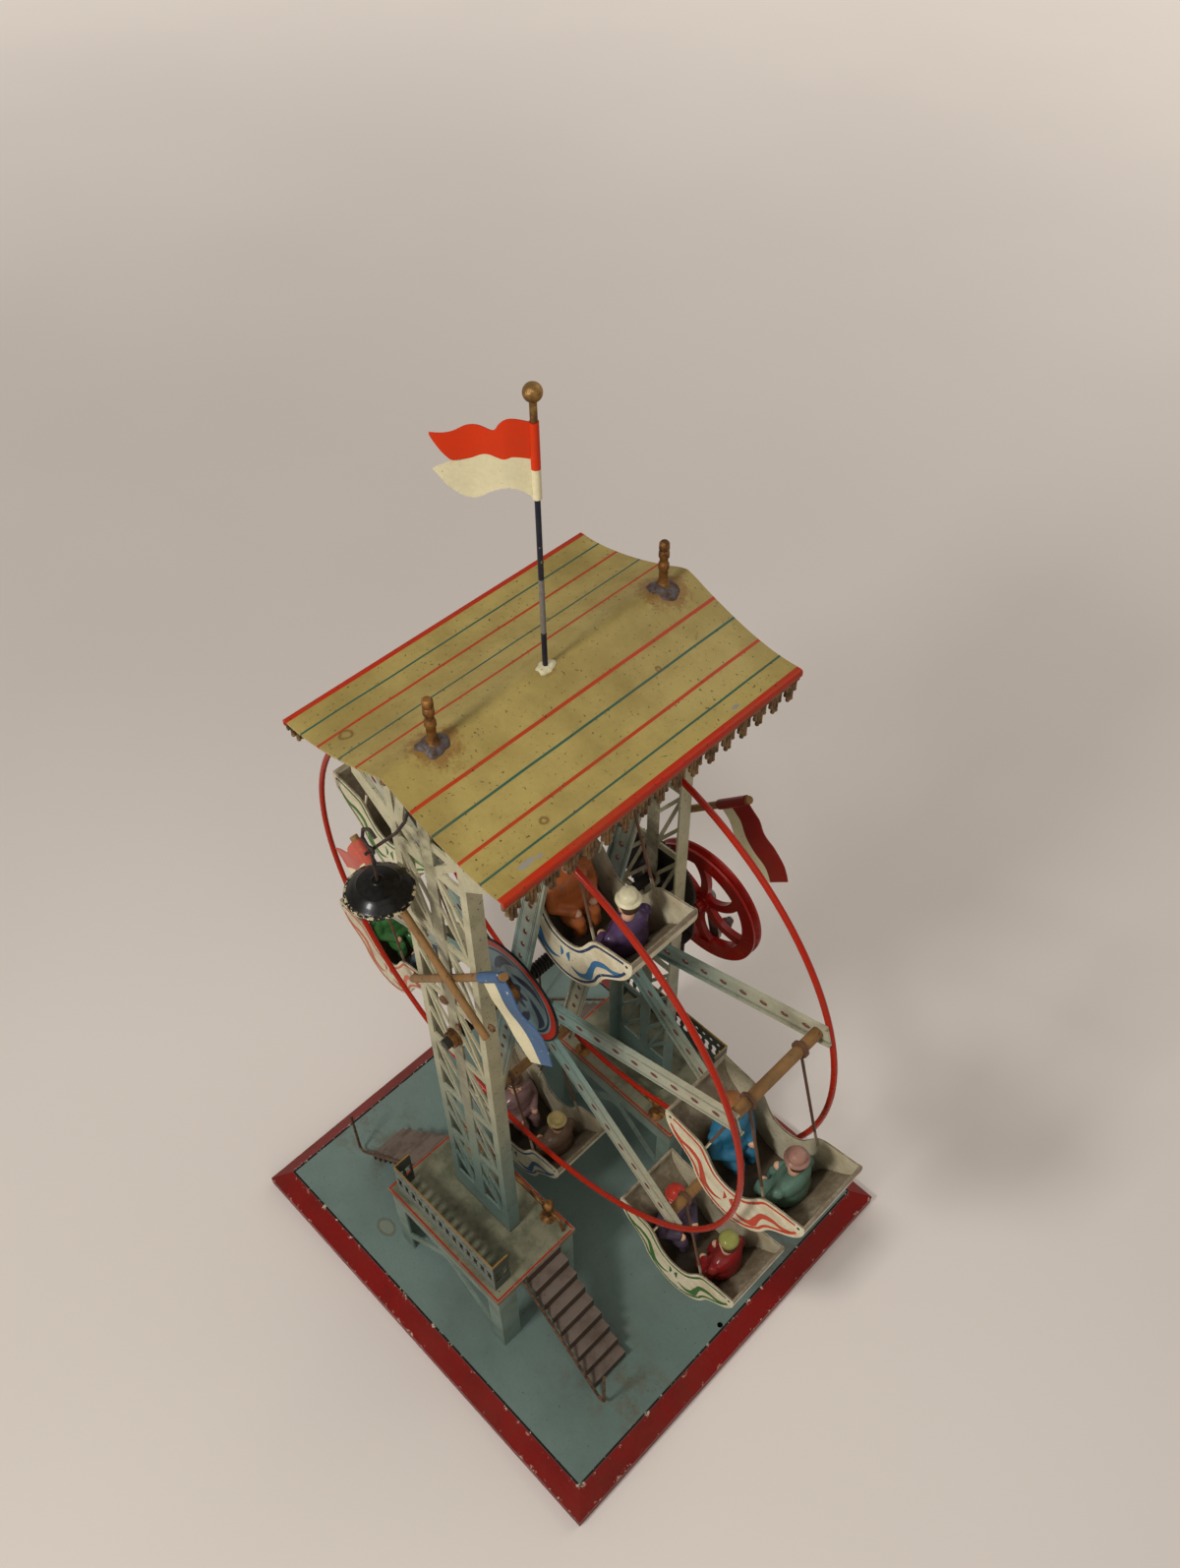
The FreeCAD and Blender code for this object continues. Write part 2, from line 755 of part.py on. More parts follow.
def add_tower(side, sign):
    """Pressed lattice tower with side flanges and a flared head under the roof."""
    label = f"{side}_tower"
    body = body_of(label, sign > 0, y=f"{sign} * tower_offset")
    foot = "platform_top + seat_gap"
    apex = "roof_ridge - roof_sheet - seat_gap"
    flare_top = "flare_start + flare_rise"
    outline = [("-tower_half", foot), ("tower_half", foot), ("tower_half", "flare_start"),
               ("head_half", flare_top), ("head_half", f"{apex} - head_fall"),
               ("roof_waist", f"{apex} - waist_fall"), (0, apex),
               ("-roof_waist", f"{apex} - waist_fall"),
               ("-head_half", f"{apex} - head_fall"), ("-head_half", flare_top),
               ("-tower_half", "flare_start")]
    pad(body, label + "_sheet", [outline], "tower_sheet")
    flange = rectangle("tower_half - tower_sheet", "tower_half", foot, "flare_start")
    pad(body, label + "_flanges", [flange, mirrored(flange)], "tower_flange")
    panel = pocket(body, label + "_panel", lattice_windows())
    repeat(body, label + "_lattice", [panel], "Z_Axis", "panel_pitch", "panel_count")
    windows = head_windows(apex)
    pocket(body, label + "_head", windows + [mirrored(window) for window in windows])
    bosses = [(0, "axle_height", "tower_boss")]
    holes = [(0, "axle_height", "axle_radius + running_gap + bush_wall + press_gap")]
    if sign > 0:
        crank_bore = "crank_shaft + running_gap + crank_bush_wall + press_gap"
        bosses.append((f"-({CRANK_X})", CRANK_Z, "crank_bush_flange_radius"))
        holes.append((f"-({CRANK_X})", CRANK_Z, crank_bore))
    pad(body, label + "_bosses", bosses, "tower_sheet")
    pocket(body, label + "_bores", holes)
    part(body)


def flanged_bush(label, bore, wall, flange_radius, flange, plate_face, plate_sheet, x, z, sign):
    """Bush through a plate from its inner face, flanged on its outer face."""
    inner_face = f"({plate_face} - {plate_sheet})"
    outer_face = f"({plate_face} + seat_gap)"
    barrel_length = f"{outer_face} + {flange} - {inner_face}"
    start = f"{sign} * {inner_face}" if sign > 0 else f"-({inner_face} + {barrel_length})"
    flange_start = outer_face if sign > 0 else f"-({outer_face} + {flange})"
    barrel = cylinder(label + "_barrel", f"{bore} + {wall}", barrel_length, (x, start, z), "y")
    rim = cylinder(label + "_rim", flange_radius, flange, (x, flange_start, z), "y")
    hole = cylinder(label + "_hole", bore, barrel_length, (x, start, z), "y")
    return cut(label, fuse(label + "_turned", barrel, rim), hole)


def add_bearings():
    bore = "(axle_radius + running_gap)"
    bushes = [flanged_bush(f"{side}_axle_bush", bore, "bush_wall", "bush_flange_radius",
                           "bush_flange", "tower_offset", "tower_sheet", 0, "axle_height", sign)
              for side, sign in (("front", -1), ("rear", 1))]
    part(group("axle_bearings", *bushes))
    crank_bore = "(crank_shaft + running_gap)"
    tower_bush = flanged_bush("tower_crank_bush", crank_bore, "crank_bush_wall",
                              "crank_bush_flange_radius", "crank_bush_flange",
                              "tower_offset", "tower_sheet", CRANK_X, CRANK_Z, 1)
    bracket_bush = flanged_bush("bracket_crank_bush", crank_bore, "crank_bush_wall",
                                "crank_bush_flange_radius", "crank_bush_flange",
                                BRACKET_FACE, "bracket_sheet", CRANK_X, CRANK_Z, 1)
    part(group("crank_bearings", tower_bush, bracket_bush))


def add_crank_bracket():
    """Strap that steps off the tower and holds the outer end of the crankshaft."""
    x_span = (f"{CRANK_X} - bracket_width / 2", f"{CRANK_X} + bracket_width / 2")
    tower_face = "tower_offset + seat_gap"
    shelf = f"{CRANK_Z} - bracket_drop"
    foot = box("bracket_foot_plate", x_span, (tower_face, f"{tower_face} + bracket_sheet"),
               (f"{shelf} - bracket_foot", f"{shelf} + bracket_sheet"))
    step = box("bracket_shelf_plate", x_span, (tower_face, BRACKET_FACE),
               (shelf, f"{shelf} + bracket_sheet"))
    upright = box("bracket_upright_plate", x_span,
                  (f"{BRACKET_FACE} - bracket_sheet", BRACKET_FACE),
                  (shelf, f"{CRANK_Z} + bracket_head"))
    hole = cylinder("bracket_hole", "crank_shaft + running_gap + crank_bush_wall + press_gap",
                    "bracket_sheet * 3",
                    (CRANK_X, f"{BRACKET_FACE} - bracket_sheet * 2", CRANK_Z), "y")
    part(cut("crank_bracket", fuse("bracket_strap", foot, step, upright), hole))


# ---------------------------------------------------------------- wheel

def add_axle():
    part(cylinder("wheel_axle", "axle_radius", f"{AXLE_REACH} * 2",
                  (0, f"-({AXLE_REACH})", "axle_height"), "y"))
    collars = []
    for side, sign in (("front", -1), ("rear", 1)):
        hub_face = "spoke_offset + hub_disc_sheet + seat_gap * 2"
        hub_start = hub_face if sign > 0 else f"-({hub_face} + hub_collar_length)"
        collars.append(ring(f"{side}_hub_collar", "hub_collar_radius", "axle_radius + press_gap",
                            "hub_collar_length", (0, hub_start, "axle_height")))
    front_cap = f"-({BUSH_FACE} + seat_gap + cap_length)"
    collars.append(ring("front_axle_cap", "cap_radius", "axle_radius + press_gap", "cap_length",
                        (0, front_cap, "axle_height")))
    rear_cap = f"{GEAR_FACE} + gear_thickness + seat_gap"
    collars.append(ring("rear_axle_cap", "cap_radius", "axle_radius + press_gap",
                        f"{AXLE_REACH} - ({rear_cap})", (0, rear_cap, "axle_height")))
    part(group("axle_collars", *collars))


def add_rings_and_discs():
    for side, sign in (("front", -1), ("rear", 1)):
        hoop = doc.addObject("Part::Torus", f"{side}_ring")
        bind(hoop, Radius1="ring_radius", Radius2="ring_wire")
        place(hoop, 0, f"{sign} * (spoke_offset + seat_gap + ring_wire)", "axle_height",
              turn=(X_AXIS, 90))
        part(hoop)
        face = "spoke_offset + seat_gap"
        start = face if sign > 0 else f"-({face} + hub_disc_sheet)"
        part(ring(f"{side}_hub_disc", "hub_disc_radius", "axle_radius + press_gap",
                  "hub_disc_sheet", (0, start, "axle_height")))


def spoke_strip(side, sign):
    """Channel strip lying along local +X, its edges folded toward the gondolas."""
    label = f"{side}_spoke"
    body = body_of(label)
    half = "spoke_width / 2"
    web_span = ("spoke_start", "spoke_end")
    pad(body, label + "_web", [rectangle(*web_span, f"-{half}", half)], "spoke_sheet",
        inward=sign < 0)
    upper = rectangle(*web_span, f"{half} - spoke_sheet", half)
    lower = rectangle(*web_span, f"-{half}", f"-{half} + spoke_sheet")
    pad(body, label + "_folds", [upper, lower], "spoke_fold", inward=sign < 0)
    first = "spoke_hole_first"
    reach = "(spoke_hole_length - spoke_hole_width) / 2"
    ends = pocket(body, label + "_hole_ends",
                  [(f"{first} - {reach}", 0, "spoke_hole_width / 2"),
                   (f"{first} + {reach}", 0, "spoke_hole_width / 2")])
    middle = pocket(body, label + "_hole_middle",
                    [rectangle(f"{first} - {reach}", f"{first} + {reach}",
                               "-spoke_hole_width / 2", "spoke_hole_width / 2")])
    repeat(body, label + "_holes", [ends, middle], "X_Axis", "spoke_hole_pitch",
           "spoke_hole_count")
    return body


def add_spokes():
    for side, sign in (("front", -1), ("rear", 1)):
        strip = spoke_strip(side, sign)
        spokes = [link(f"{side}_spoke_{index}", strip, 0, f"{sign} * spoke_offset",
                       "axle_height", turn=(Y_AXIS, -value("spoke_phase") + 60 * index))
                  for index in range(6)]
        part(group(f"{side}_spokes", *spokes))


def rod_position(index):
    """Expressions for x and z of the cross rod that carries a gondola."""
    angle = f"spoke_phase - {60 * (index - 1)}"
    return (f"rod_circle * cos({angle})", f"axle_height + rod_circle * sin({angle})")


def add_cross_rods():
    reach = "(spoke_offset - spoke_sheet - seat_gap)"
    rods = []
    for index in range(1, 7):
        x, z = rod_position(index)
        rods.append(cylinder(f"cross_rod_{index}", "rod_radius", f"2 * {reach}",
                             (x, f"-{reach}", z), "y"))
    part(group("cross_rods", *rods))


# ---------------------------------------------------------------- gondolas and riders

# Half outlines as shares of the gondola's half length and depth, from its middle out.
RIM_SHAPE = [(0.0, 0.457), (0.175, 0.414), (0.30, 0.286), (0.44, 0.114), (0.65, 0.057),
             (1.0, 0.0)]
BELLY_SHAPE = [(0.0, 1.0), (0.277, 0.929), (0.488, 0.743), (0.596, 0.557), (0.863, 0.343),
               (1.007, 0.114), (1.0, 0.0)]


def gondola_line(shape):
    """Full symmetric outline from the left tip to the right tip."""
    half_length, depth, drop = (value("gondola_half_length"), value("gondola_depth"),
                                value("rim_drop"))
    half = [(x * half_length, -drop - z * depth) for x, z in shape]
    return [(-x, z) for x, z in reversed(half[1:])] + half


def hollow_above_belly(clearance, half_width):
    """Everything above the belly's inner face, for cutting or trimming."""
    inner = offset_points(gondola_line(BELLY_SHAPE)[1:-1], clearance)
    tip_x = value("gondola_half_length") - clearance
    inner = [(-tip_x, -value("rim_drop"))] + inner + [(tip_x, -value("rim_drop"))]
    roof = -value("rim_drop") / 4
    left, right = (inner[0][0], roof), (inner[-1][0], roof)
    edges = [curve(inner), straight(inner[-1], right), straight(right, left),
             straight(left, inner[0])]
    return plate(edges, -half_width, half_width)


def gondola_tub():
    """Two shaped sides joined by a belly that turns up into the end strips."""
    half_width, side, belly = (value("gondola_half_width"), value("side_sheet"),
                               value("belly_sheet"))
    rim, bottom = gondola_line(RIM_SHAPE), gondola_line(BELLY_SHAPE)
    block = plate([curve(bottom), curve(rim[::-1])], -half_width, half_width)
    hollow = hollow_above_belly(belly, half_width - side)
    tub = block.cut(hollow)
    tip_strip = Part.makeBox(2 * value("gondola_half_length") + 2 * belly,
                             2 * (half_width - side), value("rim_drop"),
                             Vector(-value("gondola_half_length") - belly,
                                    -half_width + side, -value("rim_drop")))
    return tub.cut(tip_strip.common(hollow))


def gondola_hanger(sign):
    """Eye round the rod with two wires down to the humps of one side."""
    eye_inner = value("rod_radius + running_gap")
    eye_outer = eye_inner + value("eye_wall")
    width, y = value("eye_width"), sign * value("eye_offset")
    start = Vector(0, y - width / 2, 0)
    eye = Part.makeCylinder(eye_outer, width, start, Y_AXIS)
    bore = Part.makeCylinder(eye_inner, width, start, Y_AXIS)
    wire = value("hanger_wire")
    foot_y = sign * value("gondola_half_width - side_sheet - seat_gap - hanger_wire")
    spread, drop = value("hanger_spread"), value("hanger_drop")
    pieces = [eye]
    for side in (-1, 1):
        foot = Vector(side * spread, foot_y, -drop)
        run = foot - Vector(0, y, 0)
        top = Vector(0, y, 0) + run * (eye_inner / run.Length)
        pieces.append(Part.makeCylinder(wire, (foot - top).Length, top, foot - top))
    return pieces[0].fuse(pieces[1:]).cut(bore)


def add_gondolas():
    tub = shaped("gondola_tub", gondola_tub())
    front = shaped("gondola_hanger_front", gondola_hanger(-1))
    rear = shaped("gondola_hanger_rear", gondola_hanger(1))
    for index in range(1, 7):
        x, z = rod_position(index)
        node = group(f"gondola_{index}", tub, front, rear)
        part(place(node, x, 0, z))


def rider_figure(sign):
    """Cast figure seated on the belly: coat, head and hat in one piece."""
    reach = sign * value("rider_reach")
    depth, width = value("rider_half_depth"), value("rider_half_width")
    shoulder = -value("rider_shoulder_drop")
    floor = -value("rim_drop") - value("gondola_depth")
    stretch = FreeCAD.Matrix()
    stretch.scale(1, width / depth, 1)
    coat = Part.makeCone(depth, depth * 0.62, shoulder - floor, Vector(0, 0, floor))
    coat = coat.transformGeometry(stretch)
    head = Part.makeSphere(value("rider_head"), Vector(0, 0, -value("rider_head_drop")))
    hat = Part.makeCylinder(value("rider_hat"), value("rider_hat_height"),
                            Vector(0, 0, -value("rider_hat_drop")))
    figure = coat.fuse([head, hat])
    figure.translate(Vector(reach, 0, 0))
    clearance = value("belly_sheet + seat_gap")
    room = hollow_above_belly(clearance, value("gondola_half_width"))
    return figure.common(room).Solids[0]


def add_riders():
    left = shaped("rider_left", rider_figure(-1))
    right = shaped("rider_right", rider_figure(1))
    for index in (1, 2, 3, 4, 6):
        x, z = rod_position(index)
        node = group(f"riders_{index}", left, right)
        part(place(node, x, 0, z))


# ---------------------------------------------------------------- gear train and crank

CENTRE_DISTANCE = "(gear_module * (gear_teeth + pinion_teeth) / 2)"
CRANK_X = f"({CENTRE_DISTANCE} * cos(crank_direction))"
CRANK_Z = f"(axle_height + {CENTRE_DISTANCE} * sin(crank_direction))"
BUSH_FACE = "(tower_offset + seat_gap + bush_flange)"
GEAR_FACE = f"({BUSH_FACE} + gear_gap)"
BRACKET_FACE = "(tower_offset + seat_gap + bracket_sheet + bracket_reach)"
AXLE_REACH = f"({GEAR_FACE} + gear_thickness + seat_gap + cap_length)"
FLYWHEEL_FACE = f"({BRACKET_FACE} + flywheel_gap)"
ARM_FACE = f"({FLYWHEEL_FACE} + flywheel_width + arm_gap)"


def gear_outline(teeth, y_low, y_high, first_tooth):
    """Spur gear blank; one tooth points along first_tooth degrees."""
    module = value("gear_module")
    pitch_radius = module * teeth / 2
    tip_radius, root_radius = pitch_radius + 0.9 * module, pitch_radius - 1.25 * module
    step = 360.0 / teeth
    shares = ((-0.33, root_radius), (-0.10, tip_radius), (0.10, tip_radius), (0.33, root_radius))
    points = []
    for tooth in range(int(teeth)):
        for share, radius in shares:
            angle = math.radians(first_tooth + (tooth + share) * step)
            points.append((radius * math.cos(angle), radius * math.sin(angle)))
    edges = [straight(points[i], points[(i + 1) % len(points)]) for i in range(len(points))]
    return plate(edges, y_low, y_high)


def add_gears():
    face, thickness = value(GEAR_FACE), value("gear_thickness")
    bore = value("axle_radius + press_gap")
    boss_start = value(f"{BUSH_FACE} + seat_gap")
    gear = gear_outline(value("gear_teeth"), face, face + thickness, value("crank_direction"))
    boss = Part.makeCylinder(value("gear_boss"), face - boss_start, Vector(0, boss_start, 0),
                             Y_AXIS)
    hole = Part.makeCylinder(bore, face + thickness - boss_start, Vector(0, boss_start, 0),
                             Y_AXIS)
    drive_gear = shaped("drive_gear", gear.fuse(boss).cut(hole))
    part(place(drive_gear, 0, 0, "axle_height"))
    middle = face + thickness / 2
    half = value("pinion_length") / 2
    facing = value("crank_direction") + 180
    half_step = 180.0 / value("pinion_teeth")
    pinion = gear_outline(value("pinion_teeth"), middle - half, middle + half,
                          facing + half_step)
    pinion_bore = Part.makeCylinder(value("crank_shaft + press_gap"), 2 * half,
                                    Vector(0, middle - half, 0), Y_AXIS)
    part(place(shaped("pinion", pinion.cut(pinion_bore)), CRANK_X, 0, CRANK_Z))


def add_crankshaft():
    start = "(tower_offset - tower_sheet)"
    end = f"({ARM_FACE} + arm_thickness)"
    part(cylinder("crankshaft", "crank_shaft", f"{end} - {start}",
                  (CRANK_X, start, CRANK_Z), "y"))


def flywheel_spokes():
    """Crescent spokes between the hub and the rim, all bowed the same way round."""
    inner = value("flywheel_hub") * 0.8
    outer = value("flywheel_radius - flywheel_rim") + 0.5
    width = value("flywheel_spoke")
    web, middle = value("flywheel_web"), value(f"{FLYWHEEL_FACE} + flywheel_width / 2")
    count = int(value("flywheel_spokes"))
    bow, flare = value("flywheel_spoke_bow"), value("flywheel_spoke_flare")
    spokes = []
    for index in range(count):
        sides = []
        for offset in (-width / 2, width / 2):
            sides.append(Part.Arc(Vector(inner, 0, offset * flare),
                                  Vector((inner + outer) / 2, 0, offset - bow),
                                  Vector(outer, 0, offset * flare)).toShape())
        ends = [Part.LineSegment(sides[0].Vertexes[i].Point, sides[1].Vertexes[i].Point).toShape()
                for i in (0, 1)]
        outline = Part.Wire(Part.__sortEdges__(sides + ends))
        spoke = Part.Face(outline)
        spoke.translate(Vector(0, middle - web / 2, 0))
        spoke = spoke.extrude(Vector(0, web, 0))
        spoke.rotate(Vector(), Y_AXIS, 360.0 * index / count - value("flywheel_phase"))
        spokes.append(spoke)
    return spokes


def add_flywheel():
    """Cast flywheel: grooved rim, crescent spokes and a bored hub with a neck."""
    low, high = value(FLYWHEEL_FACE), value(f"{FLYWHEEL_FACE} + flywheel_width")
    outer, rim = value("flywheel_radius"), value("flywheel_rim")
    groove, land = value("groove_depth"), value("groove_land")
    section = [(outer - rim, low), (outer, low), (outer, low + land),
               (outer - groove, (low + high) / 2), (outer, high - land), (outer, high),
               (outer - rim, high)]
    corners = [Vector(radius, y, 0) for radius, y in section]
    wheel = Part.Face(Part.makePolygon(corners + corners[:1])).revolve(Vector(), Y_AXIS, 360)
    hub = Part.makeCylinder(value("flywheel_hub"), high - low, Vector(0, low, 0), Y_AXIS)
    neck_low = low - value("flywheel_neck_reach")
    neck = Part.makeCylinder(value("flywheel_neck"), high - neck_low, Vector(0, neck_low, 0),
                             Y_AXIS)
    bore = Part.makeCylinder(value("crank_shaft + press_gap"), high - neck_low,
                             Vector(0, neck_low, 0), Y_AXIS)
    wheel = wheel.fuse([hub, neck] + flywheel_spokes()).cut(bore)
    part(place(shaped("flywheel", wheel), CRANK_X, 0, CRANK_Z))


def add_crank_arm():
    """Arm on the end of the crankshaft with a headed pin, and the knob on the pin."""
    face, thickness = value(ARM_FACE), value("arm_thickness")
    half, length = value("arm_half_width"), value("arm_length")
    angle = math.radians(value("arm_direction"))
    reach = Vector(length * math.cos(angle), 0, length * math.sin(angle))
    across = Vector(-math.sin(angle), 0, math.cos(angle)) * half
    start = Vector(0, face, 0)
    corners = [start + across, start - across, start + reach - across, start + reach + across]
    web = Part.Face(Part.makePolygon(corners + corners[:1])).extrude(Vector(0, thickness, 0))
    ends = [Part.makeCylinder(half, thickness, start, Y_AXIS),
            Part.makeCylinder(half, thickness, start + reach, Y_AXIS)]
    knob_start = face + thickness + value("seat_gap")
    knob_end = knob_start + value("knob_length")
    pin_end = knob_end + value("seat_gap")
    pin = Part.makeCylinder(value("crank_pin"), pin_end - face, start + reach, Y_AXIS)
    head = Part.makeCylinder(value("pin_head"), value("pin_head_thickness"),
                             reach + Vector(0, pin_end, 0), Y_AXIS)
    bore = Part.makeCylinder(value("crank_shaft + press_gap"), thickness, start, Y_AXIS)
    arm = web.fuse(ends + [pin, head]).cut(bore)
    part(place(shaped("crank_arm", arm), CRANK_X, 0, CRANK_Z))
    ball = value("knob_ball")
    handle = Part.makeCylinder(value("knob_radius"), value("knob_length"),
                               reach + Vector(0, knob_start, 0), Y_AXIS)
    end_ball = Part.makeSphere(ball, reach + Vector(0, knob_end - ball, 0))
    pin_bore = Part.makeCylinder(value("crank_pin + running_gap"), 2 * value("knob_length"),
                                 reach + Vector(0, knob_start - ball, 0), Y_AXIS)
    knob = handle.fuse(end_ball).cut(pin_bore)
    part(place(shaped("crank_knob", knob), CRANK_X, 0, CRANK_Z))


# ---------------------------------------------------------------- roof

def roof_line(drop, half_span):
    """Top corners of the roof section from the left eave to the right."""
    right = [(0, f"roof_ridge - {drop}"), ("roof_waist", f"roof_ridge - waist_fall - {drop}"),
             ("head_half", f"roof_ridge - head_fall - {drop}"),
             ("roof_break", f"roof_ridge - break_fall - {drop}"),
             (half_span, f"roof_ridge - eave_fall - {drop}")]
    left = [(f"-({x})", z) for x, z in reversed(right[1:])]
    return left + right


def add_roof():
    """Pagoda canopy: sheet folded in at the waist, with a short lip along each eave."""
    body = body_of("roof_canopy", y="-roof_half_length")
    eave_bottom = "roof_ridge - eave_fall - eave_lip"
    top = roof_line("0", "roof_half_span")
    under = roof_line("roof_sheet", "roof_half_span - roof_sheet")
    outline = ([("-roof_half_span", eave_bottom)] + top + [("roof_half_span", eave_bottom),
               ("roof_half_span - roof_sheet", eave_bottom)] + under[::-1]
               + [("-(roof_half_span - roof_sheet)", eave_bottom)])
    pad(body, "roof_sheet_pad", [outline], "2 * roof_half_length")
    part(body)


def add_fringe(side, sign):
    """Comb of stepped tubes that hangs inside an eave lip."""
    label = f"{side}_fringe"
    outer_face = "roof_half_span - roof_sheet - seat_gap"
    x = f"-({outer_face})" if sign < 0 else f"{outer_face} - fringe_sheet"
    body = body_of(label, x=x)
    top = "(roof_ridge - eave_fall - eave_lip + fringe_band / 2 - seat_gap)"
    half = "(fringe_pitch * fringe_groups / 2)"
    band = rectangle(f"-{half} + fringe_tube / 2", f"{half} - fringe_tube / 2",
                     f"{top} - fringe_band", top)
    pad(body, label + "_band", [band], "fringe_sheet", plane="YZ_Plane")
    first = f"(-{half} + fringe_pitch / 2)"
    tubes = []
    for place_in_group, drop in ((-1.5, "fringe_short"), (-0.5, "fringe_long"),
                                 (0.5, "fringe_long"), (1.5, "fringe_short")):
        middle = f"({first} + {place_in_group} * fringe_tube * 1.15)"
        tubes.append(rectangle(f"{middle} - fringe_tube / 2", f"{middle} + fringe_tube / 2",
                               f"{top} - fringe_band - {drop}", f"{top} - fringe_band / 2"))
    tassel = pad(body, label + "_tassel", tubes, "fringe_sheet", plane="YZ_Plane")
    repeat(body, label + "_tassels", [tassel], "Y_Axis", "fringe_pitch", "fringe_groups")
    part(body)


def add_finials():
    """Chimney pipes soldered to the ridge."""
    items = []
    cap = body_of("ridge_room", y="-roof_half_length")
    room = [("-roof_waist", "roof_ridge - waist_fall + seat_gap"),
            (0, "roof_ridge + seat_gap"), ("roof_waist", "roof_ridge - waist_fall + seat_gap"),
            ("roof_waist", "flare_start"), ("-roof_waist", "flare_start")]
    pad(cap, "ridge_room_pad", [room], "2 * roof_half_length")
    low = "roof_ridge - solder_height / 2"
    for side, sign in (("front", -1), ("rear", 1)):
        at = (0, f"{sign} * {side}_finial_offset", low)
        pipe = cylinder(f"{side}_finial_pipe", "finial_radius",
                        "finial_height + solder_height / 2", at)
        solder = cone(f"{side}_finial_solder", "solder_radius", "finial_radius",
                      "solder_height", at)
        items.append(cut(f"{side}_finial", fuse(f"{side}_finial_blank", pipe, solder), cap))
    part(group("roof_finials", *items))


def add_flagpole():
    foot = "roof_ridge + seat_gap"
    top = f"{foot} + pole_height"
    part(cylinder("flagpole", "pole_radius", "pole_height", (0, 0, foot)))
    shank = cylinder("pole_shank_rod", "pole_shank", "pole_shank_length",
                     (0, 0, f"{top} + seat_gap"))
    ball = sphere("pole_ball_sphere", "pole_ball",
                  (0, 0, f"{top} + seat_gap + pole_shank_length"))
    part(fuse("flagpole_ball", shank, ball))


# ---------------------------------------------------------------- flags

# Flag cut from sheet: distance from the pole and height above the sleeve's foot,
# as shares of the sleeve's height, in runs between the corners of the outline.
ROOF_FLAG_RUNS = [
    [(0.0, 0.995), (0.066, 1.0), (0.206, 1.04), (0.30, 1.03), (0.37, 0.97), (0.435, 0.893)],
    [(0.435, 0.893), (0.59, 0.949), (0.72, 0.949), (0.855, 0.893), (0.97, 0.879), (1.125, 0.897)],
    [(1.125, 0.897), (1.075, 0.77), (0.99, 0.626), (0.888, 0.523)],
    [(0.888, 0.523), (1.12, 0.44)],
    [(1.12, 0.44), (1.065, 0.35), (0.977, 0.21), (0.84, 0.075), (0.70, 0.02), (0.63, 0.03),
     (0.486, 0.107), (0.346, 0.159), (0.248, 0.154), (0.15, 0.112), (0.056, 0.037), (0.0, 0.0)],
]

# Banner hung from a rod: step along the rod and distance from it, as shares of its width.
BANNER_RUNS = [
    [(0.0, 0.0), (-0.034, 0.5), (-0.15, 0.89), (-0.034, 1.27), (-0.06, 1.68), (-0.29, 2.13)],
    [(-0.29, 2.13), (-1.23, 2.09)],
    [(-1.23, 2.09), (-1.164, 1.71), (-1.2, 1.315), (-1.13, 0.82), (-1.034, 0.38), (-1.0, 0.0)],
    [(-1.0, 0.0), (0.0, 0.0)],
]
PENNANT_RUNS = [
    [(0.0, 0.0), (-0.02, 0.25), (-0.10, 0.55), (-0.21, 0.76)],
    [(-0.21, 0.76), (-0.13, 1.05), (-0.07, 1.39)],
    [(-0.07, 1.39), (-0.38, 1.49), (-0.60, 1.5), (-1.04, 1.42)],
    [(-1.04, 1.42), (-1.13, 0.95), (-1.03, 0.5), (-1.0, 0.0)],
    [(-1.0, 0.0), (0.0, 0.0)],
]


def flag_sheet(runs, scale, thickness, skip):
    """Flat sheet from outline runs, kept clear of the rod or pole by skip."""
    edges = [curve([(x * scale, z * scale) for x, z in run]) for run in runs]
    if runs[-1][-1] != runs[0][0]:
        last, first = runs[-1][-1], runs[0][0]
        edges.append(straight((last[0] * scale, last[1] * scale),
                              (first[0] * scale, first[1] * scale)))
    sheet_plate = plate(edges, -thickness / 2, thickness / 2)
    return sheet_plate.cut(skip)


def add_roof_flag():
    """Cut-out flag whose sleeve turns on the pole."""
    height, thickness = value("roof_flag_height"), value("flag_sheet")
    inner = value("pole_radius + running_gap")
    sleeve = Part.makeCylinder(inner + value("sleeve_wall"), height)
    bore = Part.makeCylinder(inner, 3 * height, Vector(0, 0, -height))
    sheet_plate = flag_sheet(ROOF_FLAG_RUNS, height, thickness, bore)
    flag = sleeve.cut(bore).fuse(sheet_plate)
    flag.rotate(Vector(), Z_AXIS, value("roof_flag_direction"))
    foot = "roof_ridge + seat_gap + pole_height - roof_flag_height - seat_gap"
    part(place(shaped("roof_flag", flag), 0, 0, foot))


# Rod axes on the towers, as (x, z) of the lower and upper end.
RISING_ROD = ((-17.5, 211.0), (31.0, 264.0))
CROSSING_ROD = ((22.5, 224.0), (-31.0, 275.5))
REAR_ROD = ((12.0, 239.0), (38.0, 265.2))


def rod_solid(ends, y):
    (low_x, low_z), (high_x, high_z) = ends
    low, high = Vector(low_x, y, low_z), Vector(high_x, y, high_z)
    return Part.makeCylinder(value("flag_rod"), (high - low).Length, low, high - low)


